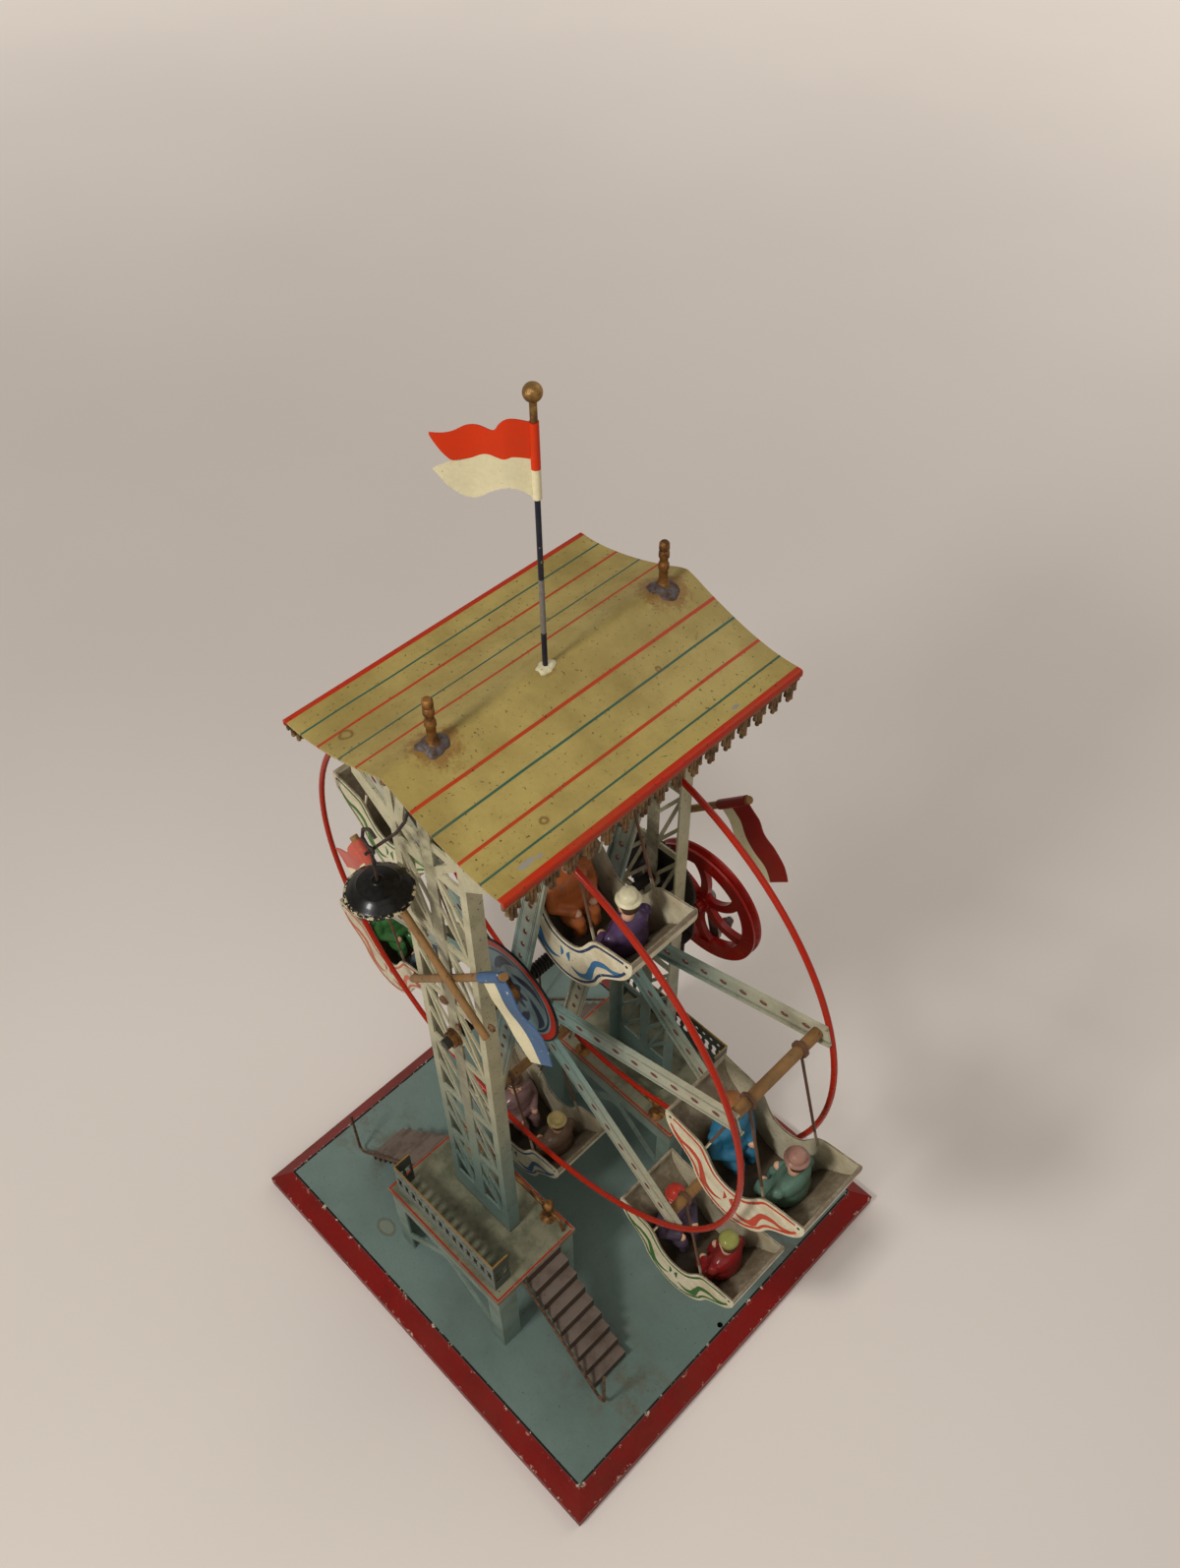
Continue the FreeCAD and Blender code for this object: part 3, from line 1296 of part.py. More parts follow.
def banner_solid(ends, y, runs):
    """Sleeve on the upper end of a rod with the flag sheet below it."""
    (low_x, low_z), (high_x, high_z) = ends
    low, high = Vector(low_x, y, low_z), Vector(high_x, y, high_z)
    along = (high - low).normalize()
    away = Vector(along.z, 0, -along.x)
    if away.z > 0:
        away = away * -1
    width, rod = value("banner_width"), value("flag_rod")
    inner = rod + value("press_gap")
    corner = high - along * value("banner_set_back")
    sleeve = Part.makeCylinder(inner + value("sleeve_wall"), width, corner - along * width, along)
    bore = Part.makeCylinder(inner, 3 * width, corner - along * 2 * width, along)
    corners = [[corner + along * (x * width) + away * (z * width) for x, z in run]
               for run in runs]
    edges = []
    for points in corners:
        spline = Part.BSplineCurve()
        spline.interpolate(points)
        edges.append(spline.toShape())
    face = Part.Face(Part.Wire(edges))
    thickness = value("flag_sheet")
    face.translate(Vector(0, -thickness / 2, 0))
    return face.extrude(Vector(0, thickness, 0)).fuse(sleeve).cut(bore)


def add_tower_flags():
    near = value("tower_offset + seat_gap + flag_rod")
    far = near + value("2 * flag_rod + seat_gap")
    rods = [rod_solid(RISING_ROD, -near), rod_solid(CROSSING_ROD, -far)]
    part(shaped("front_flag_rods", Part.makeCompound(rods)))
    part(shaped("rear_flag_rod", rod_solid(REAR_ROD, near)))
    part(shaped("front_right_flag", banner_solid(RISING_ROD, -near, BANNER_RUNS)))
    part(shaped("front_left_flag", banner_solid(CROSSING_ROD, -far, PENNANT_RUNS)))
    part(shaped("rear_right_flag", banner_solid(REAR_ROD, near, BANNER_RUNS)))


# ---------------------------------------------------------------- lamp

# Route of the bracket wire from the lamp pin back to the tower head, as steps
# (along X, away from the tower, up) from the pin's near end.
BRACKET_ROUTE = [(0.0, 0.0, 0.0), (9.8, -0.6, 13.3), (13.6, -1.5, 20.3), (14.6, -2.7, 24.6),
                 (12.4, -3.9, 26.6), (7.5, -5.0, 25.5), (1.5, -6.8, 23.0), (-2.8, -8.4, 21.0),
                 (-4.7, -9.9, 16.2)]
CROOK_ROUTE = [(-1.2, 0.35), (-3.2, 3.0), (-2.0, 7.4), (1.4, 10.2), (3.6, 8.2)]


def add_lamp():
    """Enamel shade on a wire hook that swings on the end of a bent bracket."""
    wire = value("lamp_wire")
    x, z = value("lamp_x"), value("lamp_height")
    middle = -value("tower_offset") - value("lamp_standoff")
    half_pin = value("lamp_pin_length") / 2
    near = middle + half_pin
    depth = value("lamp_standoff - lamp_pin_length / 2 - lamp_wire - seat_gap")
    scale = depth / -BRACKET_ROUTE[-1][1]
    route = [Vector(x, middle - half_pin, z)]
    route += [Vector(x + dx, near - dy * scale, z + dz) for dx, dy, dz in BRACKET_ROUTE]
    part(shaped("lamp_bracket", wire_rod(route, wire, 1.4 * wire)))
    eye_inner = wire + value("running_gap")
    eye = Part.makeTorus(eye_inner + wire, wire, Vector(x, middle, z), Y_AXIS)
    shade_top = z - value("shade_drop")
    stem_top = z - eye_inner - wire
    nut, nut_height = value("stem_nut"), value("stem_nut_height")
    nut_top = shade_top - value("shade_sheet + seat_gap")
    stem = Part.makeCylinder(wire, stem_top - nut_top, Vector(x, middle, nut_top))
    stem_nut = Part.makeCylinder(nut, nut_height, Vector(x, middle, nut_top - nut_height))
    crook = wire_rod([Vector(x + dx, middle, z + dz) for dx, dz in CROOK_ROUTE], wire, 1.4 * wire)
    part(shaped("lamp_hook", eye.fuse([stem, stem_nut, crook])))
    part(place(shaped("lamp_shade", shade_solid()), "lamp_x", "-tower_offset - lamp_standoff",
               "lamp_height - shade_drop"))


def shade_solid():
    """Shallow dome open below, with a hole for the stem of its hook."""
    radius, height, skin = value("shade_radius"), value("shade_height"), value("shade_sheet")
    boss, hole = value("shade_boss"), value("lamp_wire + press_gap")
    shoulder = (0.55 * radius, -0.26 * height)
    outer = Part.Arc(Vector(boss, 0, 0), Vector(shoulder[0], 0, shoulder[1]),
                     Vector(radius, 0, -height)).toShape()
    inner = Part.Arc(Vector(radius - skin, 0, -height),
                     Vector(shoulder[0] - skin / 3, 0, shoulder[1] - skin),
                     Vector(boss, 0, -skin)).toShape()
    section = Part.Wire([straight((hole, 0), (boss, 0)), outer,
                         straight((radius, -height), (radius - skin, -height)), inner,
                         straight((boss, -skin), (hole, -skin)),
                         straight((hole, -skin), (hole, 0))])
    return Part.Face(section).revolve(Vector(), Z_AXIS, 360)


# ---------------------------------------------------------------- the toy

add_base_pan()
for side, sign in (("front", -1), ("rear", 1)):
    add_platform(side, sign)
    add_trestles(side, sign)
    add_railing(side, sign)
    for hand, sign_x in (("left", -1), ("right", 1)):
        add_stair(f"{side}_stair_{hand}", sign_x, sign)
    add_tower(side, sign)
add_handrails()
add_gate_posts()
add_gate_bars()
add_bearings()
add_crank_bracket()
add_axle()
add_rings_and_discs()
add_spokes()
add_cross_rods()
add_gondolas()
add_riders()
add_gears()
add_crankshaft()
add_flywheel()
add_crank_arm()
add_roof()
for side, sign in (("left", -1), ("right", 1)):
    add_fringe(side, sign)
add_finials()
add_flagpole()
add_roof_flag()
add_tower_flags()
add_lamp()

doc.recompute()

failed = [item.Name for item in doc.Objects if {"Invalid", "Error"} & set(item.State)]
if failed:
    raise RuntimeError(f"objects that did not compute: {failed}")
for item in parts:
    if item.Shape.isNull() or not item.Shape.isValid() or not item.Shape.Solids:
        raise RuntimeError(f"sub-part {item.Label} has no valid solid")

for item in parts:
    item.Shape.exportStep(os.path.join("parts", item.Label + ".step"))
    print(item.Label, len(item.Shape.Solids), "solids", round(item.Shape.Volume, 2), "mm3")
print(len(parts), "sub-parts")
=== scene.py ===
import math

import bmesh
import bpy
from mathutils import Matrix, Vector, noise


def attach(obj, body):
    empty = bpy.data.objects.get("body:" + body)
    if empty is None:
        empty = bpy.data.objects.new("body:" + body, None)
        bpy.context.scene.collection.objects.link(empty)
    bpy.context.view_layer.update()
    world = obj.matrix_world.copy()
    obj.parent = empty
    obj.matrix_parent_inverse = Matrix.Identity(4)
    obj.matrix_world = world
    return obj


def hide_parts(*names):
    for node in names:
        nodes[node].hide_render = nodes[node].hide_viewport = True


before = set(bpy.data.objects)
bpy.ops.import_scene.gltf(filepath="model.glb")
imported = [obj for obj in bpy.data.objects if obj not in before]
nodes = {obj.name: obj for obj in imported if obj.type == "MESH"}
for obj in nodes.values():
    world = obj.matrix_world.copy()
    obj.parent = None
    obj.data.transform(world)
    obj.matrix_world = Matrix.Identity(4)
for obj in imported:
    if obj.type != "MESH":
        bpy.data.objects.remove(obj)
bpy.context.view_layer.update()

mm = 0.001
axleHeight = 194.1


def srgb(colour):
    def channel(level):
        level /= 255
        return level / 12.92 if level <= 0.04045 else ((level + 0.055) / 1.055) ** 2.4
    return [channel(level) for level in colour]


def feed(tree, source, socket):  # with a link or with a plain value
    source = getattr(source, "socket", source)
    if isinstance(source, bpy.types.NodeSocket):
        tree.links.new(source, socket)
    elif socket.type == "RGBA":
        socket.default_value = (*srgb(source), 1)
    else:
        socket.default_value = source


def addNode(tree, kind, inputs={}, **settings):
    node = tree.nodes.new(kind)
    for name, value in settings.items():
        setattr(node, name, value)
    for name, sources in inputs.items():
        for source in sources if isinstance(sources, list) else [sources]:
            feed(tree, source, node.inputs[name])
    return node


def arithmetic(operation, turned=False):
    def work(field, *others):
        values = (field, *others)
        return field.finish.calc(operation, *(values[::-1] if turned else values))
    return work


class Field:
    # a number that differs from place to place on a surface, for plain arithmetic
    __add__ = __radd__ = arithmetic("ADD")
    __sub__, __rsub__ = arithmetic("SUBTRACT"), arithmetic("SUBTRACT", True)
    __mul__ = __rmul__ = arithmetic("MULTIPLY")
    __truediv__, __pow__ = arithmetic("DIVIDE"), arithmetic("POWER")
    __or__, __abs__ = arithmetic("MAXIMUM"), arithmetic("ABSOLUTE")
    least, root, whole = arithmetic("MINIMUM"), arithmetic("SQRT"), arithmetic("ROUND")
    sine, cosine = arithmetic("SINE"), arithmetic("COSINE")

    def __init__(self, finish, socket):
        self.finish, self.socket = finish, socket

    def rise(self, low, high):  # smooth step from 0 at low to 1 at high
        return self.finish.field("ShaderNodeMapRange", {
            "Value": self, "From Min": low, "From Max": high}, interpolation_type="SMOOTHSTEP")

    def band(self, centre, half, soft=0.08):
        return 1 - abs(self - centre).rise(half - soft, half + soft)


class Finish:
    # one material whose patterns are worked out in millimetres on Object coordinates
    def __init__(self, name, centre=(0, 0, 0)):
        self.material = bpy.data.materials.new(name)
        self.material.use_nodes = True
        self.tree = self.material.node_tree
        place = addNode(self.tree, "ShaderNodeTexCoord").outputs["Object"]
        self.point = addNode(self.tree, "ShaderNodeMapping", {
            "Vector": place, "Scale": (1 / mm, 1 / mm, 1 / mm),
            "Location": tuple(-value for value in centre)}).outputs["Vector"]
        self.x, self.y, self.z = self.split(self.point)

    def field(self, kind, inputs, **settings):
        return Field(self, addNode(self.tree, kind, inputs, **settings).outputs[0])

    def split(self, source):
        node = addNode(self.tree, "ShaderNodeSeparateXYZ", {0: source})
        return [Field(self, output) for output in node.outputs]

    def calc(self, operation, *values):
        return self.field("ShaderNodeMath", dict(enumerate(values)), operation=operation)

    def mix(self, factor, first, second):
        return addNode(self.tree, "ShaderNodeMix", {0: factor, 6: first, 7: second},
                       data_type="RGBA").outputs[2]

    def layers(self, colour, *coats):  # each coat is a mask and its paint
        for mask, paint in coats:
            colour = self.mix(mask, colour, paint)
        return colour

    def cloud(self, size, detail=4.0, rough=0.6):  # size of a patch in mm
        return self.field("ShaderNodeTexNoise", {
            "Vector": self.point, "Scale": 1 / size, "Detail": detail, "Roughness": rough})

    def spot(self, x, y, length=1, width=1):  # square of the distance from a spot, in its sizes
        return ((self.x - x) / length) ** 2 + ((self.y - y) / width) ** 2

    def upward(self):  # -1 on a face that looks down, 1 on one that looks up
        return self.split(addNode(self.tree, "ShaderNodeNewGeometry").outputs["True Normal"])[2]

    def wheelAngle(self):  # distance from the axle, and the angle about it
        height = self.z - axleHeight
        return (self.x ** 2 + height ** 2).root(), self.calc("ARCTAN2", height, self.x)

    def close(self, colour, roughness, bump=None, depth=0.1, metallic=0.0, coat=0.0, glow=0.0):
        inputs = {"Base Color": colour, "Roughness": roughness, "Metallic": metallic,
                  "Coat Weight": coat, "Coat Roughness": 0.12,
                  "Specular IOR Level": 0.5 if metallic else 0.12}
        if bump:
            inputs["Normal"] = self.field("ShaderNodeBump", {
                "Height": bump, "Strength": 0.6, "Distance": depth * mm})
        if glow:
            inputs.update({"Emission Color": colour, "Emission Strength": glow})
        for name, source in inputs.items():
            feed(self.tree, source, self.tree.nodes["Principled BSDF"].inputs[name])
        return self.material


agedLook = {"tone": (0.38, 0.78), "fine": (0.3, 0.8), "fineShare": 0.12, "speck": (52, 38, 26),
            "speckEdge": 0.03, "speckShare": 0.75, "chipEdge": 0.012, "dulled": 0.22,
            "grain": 0.25}


def enamel(name, paint, gloss=0.34, grime=(70, 62, 45), grimeShare=0.35, grimeSize=22,
           chip=(60, 48, 40), chipLevel=0.72, chipSize=3.0, speckLevel=0.70, coat=0.06,
           relief=0.06, centre=(0, 0, 0)):
    # old oven-baked paint: uneven tone, grime, brown specks, chips down to the tin
    look, finish = agedLook, Finish(name, centre)
    colour = paint(finish) if callable(paint) else paint
    tone = finish.cloud(grimeSize, 5, 0.62).rise(*look["tone"])
    fine = finish.cloud(1.3, 3, 0.7)
    specks = finish.cloud(1.1, 2, 0.6).rise(speckLevel, speckLevel + look["speckEdge"])
    chips = finish.cloud(chipSize, 6, 0.72).rise(chipLevel, chipLevel + look["chipEdge"])
    colour = finish.layers(colour, (tone * grimeShare, grime),
                           (fine.rise(*look["fine"]) * look["fineShare"], grime),
                           (specks * look["speckShare"], look["speck"]), (chips, chip))
    rough = (tone | chips) * look["dulled"] + gloss
    return finish.close(colour, rough, fine * look["grain"] - chips, relief, coat=coat)


def bareMetal(name, bright, dark, roughness=0.45, metallic=0.7, patch=5.0, crust=0.25):
    finish = Finish(name)
    cloud, grain = finish.cloud(patch, 6, 0.7), finish.cloud(0.6, 3, 0.7)
    colour = finish.layers(bright, (cloud.rise(0.35, 0.65), dark),
                           (grain.rise(0.45, 0.8) * 0.5, dark))
    return finish.close(colour, cloud * 0.3 + roughness, grain, crust, metallic=metallic)


def dressNodes(material, *names):
    for name in names:
        mesh = nodes[name].data
        mesh.materials.clear()
        mesh.materials.append(material)


print("base and platforms")
baseLook = {
    "deck": (106, 123, 115), "deckShade": (92, 109, 101), "border": (118, 12, 8),
    "borderShade": (104, 11, 7), "line": (24, 16, 16), "tin": (188, 172, 150),
    "tracks": (96, 74, 52), "oil": (128, 126, 96), "oilRim": (92, 84, 62),
    "halfLength": 100.0, "halfWidth": 92.75, "inset": 7.7, "skirt": 5.5,
    "stains": [(-42.0, -71.4, 4.6, 3.2), (-66.0, -44.0, 5.4, 4.6), (63.8, -39.2, 5.0, 4.0)],
}


def basePaint(at):
    look = baseLook
    inset = look["inset"]
    edge = (look["halfLength"] - abs(at.x)).least(look["halfWidth"] - abs(at.y))
    deck = at.mix(at.cloud(60, 5, 0.6).rise(0.35, 0.7), look["deck"], look["deckShade"])
    wander = (at.cloud(4, 3, 0.6) - 0.5) * 0.24
    for stain in look["stains"]:  # old rings left by a drop of oil
        away = at.spot(*stain).root() + wander
        deck = at.layers(deck, ((1 - away.rise(0.75, 1.05)) * 0.35, look["oil"]),
                         (away.band(0.95, 0.16, 0.1) * 0.6, look["oilRim"]))
    tracks = (abs(at.y).band(46.0, 16.0, 8.0) * abs(at.x).rise(48.0, 66.0)
              * at.cloud(7, 5, 0.7).rise(0.45, 0.65))
    deck = at.mix(tracks * 0.45, deck, look["tracks"])
    border = at.mix(at.cloud(18, 4, 0.6).rise(0.4, 0.7), look["border"], look["borderShade"])
    folds = at.z.band(look["skirt"], 0.9, 0.4) | (1 - at.z.rise(0.3, 1.1))
    corner = (1 - edge.rise(0.0, 1.6)) * folds | edge.band(inset, 0.9, 0.5)
    return at.layers(border, (edge.rise(inset - 0.1, inset + 0.1), deck),
                     (edge.band(inset + 0.5, 0.45), look["line"]),
                     (corner * at.cloud(2.6, 5, 0.75).rise(0.60, 0.62), look["tin"]))


dressNodes(enamel("deckEnamel", basePaint, gloss=0.36, grimeShare=0.22, grimeSize=40,
                  chip=(190, 178, 158), chipLevel=0.775, chipSize=3.2), "base_pan")

platformLook = {"halfLength": 33.4, "near": 27.9, "far": 69.9, "top": 62.2,
                "paint": (120, 117, 94), "shade": (84, 86, 68), "side": (120, 110, 86),
                "line": (146, 40, 22)}


def platformPaint(at):
    look = platformLook
    top, reach = look["top"], abs(at.y)
    toEnd = (reach - look["near"]).least(look["far"] - reach)
    edge = (look["halfLength"] - abs(at.x)).least(toEnd)
    line = edge.band(0.7, 0.4) * at.cloud(3, 4, 0.7).rise(0.36, 0.4)
    side = 1 - at.z.rise(top - 0.3, top - 0.05)
    return at.layers(look["paint"], (at.cloud(12, 5, 0.65).rise(0.4, 0.65), look["shade"]),
                     (line, look["line"]), (side, look["side"]),
                     (side * at.z.band(top - 1.6, 0.4), look["line"]))


dressNodes(enamel("platformEnamel", platformPaint, chip=(90, 62, 40), chipLevel=0.69),
           "front_deck", "rear_deck")

trestleLook = {"paint": (120, 135, 122), "foot": (104, 121, 110), "head": (128, 128, 108)}


def trestlePaint(at):
    return at.layers(trestleLook["paint"], (1 - at.z.rise(14.0, 40.0), trestleLook["foot"]),
                     (at.z.rise(55.0, 61.0) * 0.5, trestleLook["head"]))


dressNodes(enamel("trestleEnamel", trestlePaint, chipLevel=0.70, grimeShare=0.4, grimeSize=14),
           "front_trestles", "rear_trestles")

railingLook = {"inside": (58, 66, 58), "outside": (104, 114, 104), "rail": (136, 102, 52)}


def railingPaint(at):
    # painted shade: the inner face is a darker copy of the outer face's paint
    outward = abs(at.y).rise(66.9, 67.05)
    return at.layers(railingLook["inside"], (outward, railingLook["outside"]),
                     (at.z.rise(82.6, 83.0), railingLook["rail"]))


dressNodes(enamel("railingEnamel", railingPaint, chip=(96, 66, 36), chipLevel=0.64,
                  chipSize=2.0, grimeShare=0.4, grimeSize=9), "front_railing", "rear_railing")

stairLook = {"tread": (106, 92, 82), "worn": (86, 72, 62), "shadedSides": (58, 46, 38)}


def stairPaint(at):
    step = at.mix(at.cloud(8, 4, 0.6).rise(0.4, 0.7), stairLook["tread"], stairLook["worn"])
    # painted shade: faces that do not look up, risers and sides, are darker than the treads
    return at.mix(at.upward().rise(0.6, 0.8), stairLook["shadedSides"], step)


dressNodes(enamel("stairEnamel", stairPaint, gloss=0.45, coat=0.1, chip=(104, 70, 40),
                  chipLevel=0.70),
           "front_stair_left", "front_stair_right", "rear_stair_left", "rear_stair_right")


print("towers")
towerLook = {"cream": (172, 164, 132), "foot": (94, 114, 106), "fade": (78.0, 205.0),
             "drift": 50.0, "strip": 3.2, "soot": (92, 84, 66), "footGapShadow": (40, 34, 28)}


def towerPaint(at):
    look = towerLook
    height = at.z + (at.cloud(16, 4, 0.6) - 0.5) * look["drift"]
    soot = (at.x.band(0.0, look["strip"], 0.8) * at.cloud(9, 5, 0.7).rise(0.3, 0.6)
            * at.z.rise(110.0, 180.0))
    # the last coat is painted shadow: a near-black line along the bottom, where the gap at the
    # foot lies in shade
    return at.layers(look["foot"], (height.rise(*look["fade"]), look["cream"]),
                     (soot * 0.75, look["soot"]),
                     ((1 - at.z.rise(62.9, 63.1)) * 0.85, look["footGapShadow"]))


dressNodes(enamel("towerEnamel", towerPaint, grimeShare=0.32, grimeSize=15, chip=(112, 78, 44),
                  chipLevel=0.705, chipSize=2.2, speckLevel=0.66), "front_tower", "rear_tower")

oldBrass = bareMetal("oldBrass", (150, 104, 52), (72, 46, 26), 0.4, 0.75)
bronze = bareMetal("fringeBronze", (140, 108, 66), (74, 52, 32), 0.42, 0.6, 3.0)
darkWire = bareMetal("darkWire", (66, 50, 40), (34, 26, 22), 0.5, 0.4, 3.0)
dullSteel = bareMetal("dullSteel", (150, 142, 130), (84, 74, 64), 0.4, 0.85)
solder = bareMetal("solderLump", (92, 86, 84), (72, 48, 32), 0.5, 0.5, 2.0, 0.6)
blackEnamel = enamel("blackEnamel", (14, 13, 13), gloss=0.2, coat=0.2, grimeShare=0.12,
                     chip=(176, 164, 140), chipLevel=0.79, speckLevel=0.9)
gearBlack = enamel("gearBlack", (34, 32, 30), gloss=0.4, coat=0.1, chip=(96, 84, 70),
                   chipLevel=0.68, chipSize=1.6)
dressNodes(oldBrass, "gate_posts", "gate_bars", "axle_bearings", "crank_bearings",
           "axle_collars")
dressNodes(darkWire, "lamp_bracket", "lamp_hook", "crank_bracket")
dressNodes(bareMetal("rustyWire", (112, 80, 50), (62, 42, 28), 0.5, 0.4, 3.0),
           "stair_handrails")
dressNodes(dullSteel, "crankshaft", "pinion", "crank_arm")
dressNodes(gearBlack, "drive_gear", "wheel_axle")
dressNodes(enamel("ochreRod", (132, 96, 56), gloss=0.42, coat=0.1, chip=(70, 48, 30),
                  chipLevel=0.62, chipSize=2.0, grimeShare=0.5, grimeSize=6),
           "cross_rods", "front_flag_rods", "rear_flag_rod")
poleLook = {"bare": (342.0, 360.0), "edge": 0.6, "paint": (26, 28, 40), "tin": (110, 104, 96)}


def polePaint(at):
    (low, high), edge = poleLook["bare"], poleLook["edge"]
    worn = at.z.rise(low, low + edge) * (1 - at.z.rise(high, high + edge))
    return at.mix(worn, poleLook["paint"], poleLook["tin"])


dressNodes(enamel("poleEnamel", polePaint, gloss=0.3, chip=(150, 128, 84),
                  chipLevel=0.66, chipSize=2.4), "flagpole")
dressNodes(bareMetal("ballBrass", (158, 120, 66), (96, 70, 40), 0.3, 0.85), "flagpole_ball")
dressNodes(enamel("knobPaint", (70, 48, 44), gloss=0.35), "crank_knob")


print("wheel")
dressNodes(enamel("ringRed", (156, 25, 0), gloss=0.2, coat=0.15, grimeShare=0.2, grimeSize=12,
                  chip=(196, 176, 150), chipLevel=0.745, chipSize=1.8, speckLevel=0.74),
           "front_ring", "rear_ring")

spokeLook = {"phase": 18.7, "step": 60, "holeFirst": 25.0, "holePitch": 8.6, "holeLast": 97.0,
             "holeHalf": 1.65, "hub": (104, 128, 120), "tip": (168, 162, 136),
             "line": (44, 62, 64), "hole": (96, 30, 24)}


def spokePaint(at):
    look = spokeLook
    radius, angle = at.wheelAngle()
    apart, first, last = math.radians(look["step"]), look["holeFirst"], look["holeLast"]
    turn = (angle - math.radians(look["phase"])) / apart
    off = (turn - turn.whole()) * apart
    along, across = radius * off.cosine(), abs(radius * off.sine())
    lines = across.band(3.05, 0.14, 0.05) | across.band(2.45, 0.10, 0.05)
    lines *= at.cloud(3, 4, 0.7).rise(0.32, 0.42)
    step = (along - first) / look["holePitch"]
    gap = (step - step.whole()) * look["holePitch"]
    oval = (gap / look["holeHalf"]) ** 2 + across ** 2
    rim = ((1 - oval.rise(0.8, 1.1)) * along.rise(first - 3, first - 2)
           * (1 - along.rise(last, last + 1)))
    return at.layers(look["hub"], (along.rise(20.0, 92.0), look["tip"]), (lines, look["line"]),
                     (rim * 0.85, look["hole"]))


dressNodes(enamel("spokeEnamel", spokePaint, gloss=0.3, grimeShare=0.25, grimeSize=10,
                  chip=(104, 72, 48), chipLevel=0.72, chipSize=2.0),
           "front_spokes", "rear_spokes")

discLook = {"petals": 6.0, "twist": 0.11, "rays": 8.0, "rayLength": 1.4,
            "ground": (96, 118, 120), "ink": (18, 34, 56), "ring": (164, 26, 8),
            "edge": (20, 18, 20)}


def discPaint(at):
    look = discLook
    radius, angle = at.wheelAngle()
    petals = ((angle + radius * look["twist"]) * look["petals"]).sine()
    curls = petals.rise(0.05, 0.25) * radius.rise(8.5, 10.0) * (1 - radius.rise(16.0, 17.0))
    star = (angle * look["rays"]).sine() * look["rayLength"]
    rays = 1 - (radius - star).rise(6.2, 6.6)
    return at.layers(look["ground"], (curls | rays, look["ink"]),
                     (radius.band(17.6, 0.5), look["ink"]),
                     (radius.rise(18.8, 19.0), look["ring"]),
                     (radius.rise(21.1, 21.4), look["edge"]))


dressNodes(enamel("discEnamel", discPaint, gloss=0.28, grimeShare=0.2, grimeSize=8),
           "front_hub_disc", "rear_hub_disc")
dressNodes(enamel("flywheelEnamel", (142, 13, 6), gloss=0.2, coat=0.2, grimeShare=0.2,
                  chip=(60, 30, 24), chipLevel=0.73, chipSize=2.0), "flywheel")


print("tools for modelled pieces")


def placeObject(name, data):
    item = bpy.data.objects.new(name, data)
    bpy.context.scene.collection.objects.link(item)
    return item


def plainMesh(name, mesh, materials=()):  # from a bmesh in millimetres, in place
    bmesh.ops.scale(mesh, vec=(mm, mm, mm), verts=mesh.verts)
    data = bpy.data.meshes.new(name)
    for material in materials:
        data.materials.append(material)
    mesh.to_mesh(data)
    mesh.free()
    return data


def finalMesh(holder):  # what the holder's modifiers make of it, as a plain mesh
    made = bpy.data.meshes.new_from_object(
        holder.evaluated_get(bpy.context.evaluated_depsgraph_get()))
    holder.modifiers.clear()
    bpy.data.objects.remove(holder)
    return made


def addPiece(name, mesh, materials, body, replaced=(), sharp=38):
    bmesh.ops.recalc_face_normals(mesh, faces=mesh.faces)
    showMesh(name, plainMesh(name, mesh, materials), body, replaced, sharp)


def showMesh(name, data, body, replaced=(), sharp=38):
    data.shade_smooth()
    data.set_sharp_from_angle(angle=math.radians(sharp))
    piece = placeObject(name, data)
    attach(piece, body)
    for node in replaced:
        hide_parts(node)


def smoothPath(points, steps):  # a curve through pairs of x and z
    points = [Vector((x, 0, z)) for x, z in points]
    path = []
    for index in range(len(points) - 1):
        first, second = points[index], points[index + 1]
        before = points[max(index - 1, 0)]
        after = points[min(index + 2, len(points) - 1)]
        for step in range(steps):
            t = step / steps
            path.append(0.5 * (2 * first + (second - before) * t
                               + (2 * before - 5 * first + 4 * second - after) * t ** 2
                               + (3 * first - before - 3 * second + after) * t ** 3))
    path.append(points[-1])
    return path


def levelAt(path, place):  # height at a place along pairs of place and height
    for (first, low), (second, high) in zip(path, path[1:]):
        if first <= place <= second:
            return low + (high - low) * (place - first) / max(second - first, 1e-6)
    return path[-1][1]


def addFace(mesh, corners, material):
    mesh.faces.new(corners).material_index = material


def joinLoops(mesh, loops, material):  # a skin over loops of points, where one point is a pole
    for first, second in zip(loops, loops[1:]):
        for k in range(max(len(first), len(second))):
            corners = [loop[step % len(loop)] for loop, step in
                       ((first, k), (first, k + 1), (second, k + 1), (second, k))]
            addFace(mesh, list(dict.fromkeys(corners)), material)


def addSheet(mesh, rows, thickness, material=0, normal=None):  # a grid of points as thin metal
    last, edge = len(rows) - 1, len(rows[0]) - 1

    def facing(i, j):
        if normal:
            return normal
        along = rows[min(i + 1, last)][j] - rows[max(i - 1, 0)][j]
        across = rows[i][min(j + 1, edge)] - rows[i][max(j - 1, 0)]
        return along.cross(across).normalized()

    skins = [[[mesh.verts.new(point + facing(i, j) * half) for j, point in enumerate(row)]
              for i, row in enumerate(rows)] for half in (-thickness / 2, thickness / 2)]
    for i in range(last):
        for j in range(edge):
            for skin in skins:
                addFace(mesh, (skin[i][j], skin[i + 1][j], skin[i + 1][j + 1], skin[i][j + 1]),
                        material)
    rim = ([(i, 0) for i in range(last)] + [(last, j) for j in range(edge)]
           + [(i, edge) for i in range(last, 0, -1)] + [(0, j) for j in range(edge, 0, -1)])
    for (i, j), (k, m) in zip(rim, rim[1:] + rim[:1]):
        addFace(mesh, (skins[0][i][j], skins[0][k][m], skins[1][k][m], skins[1][i][j]),
                material)


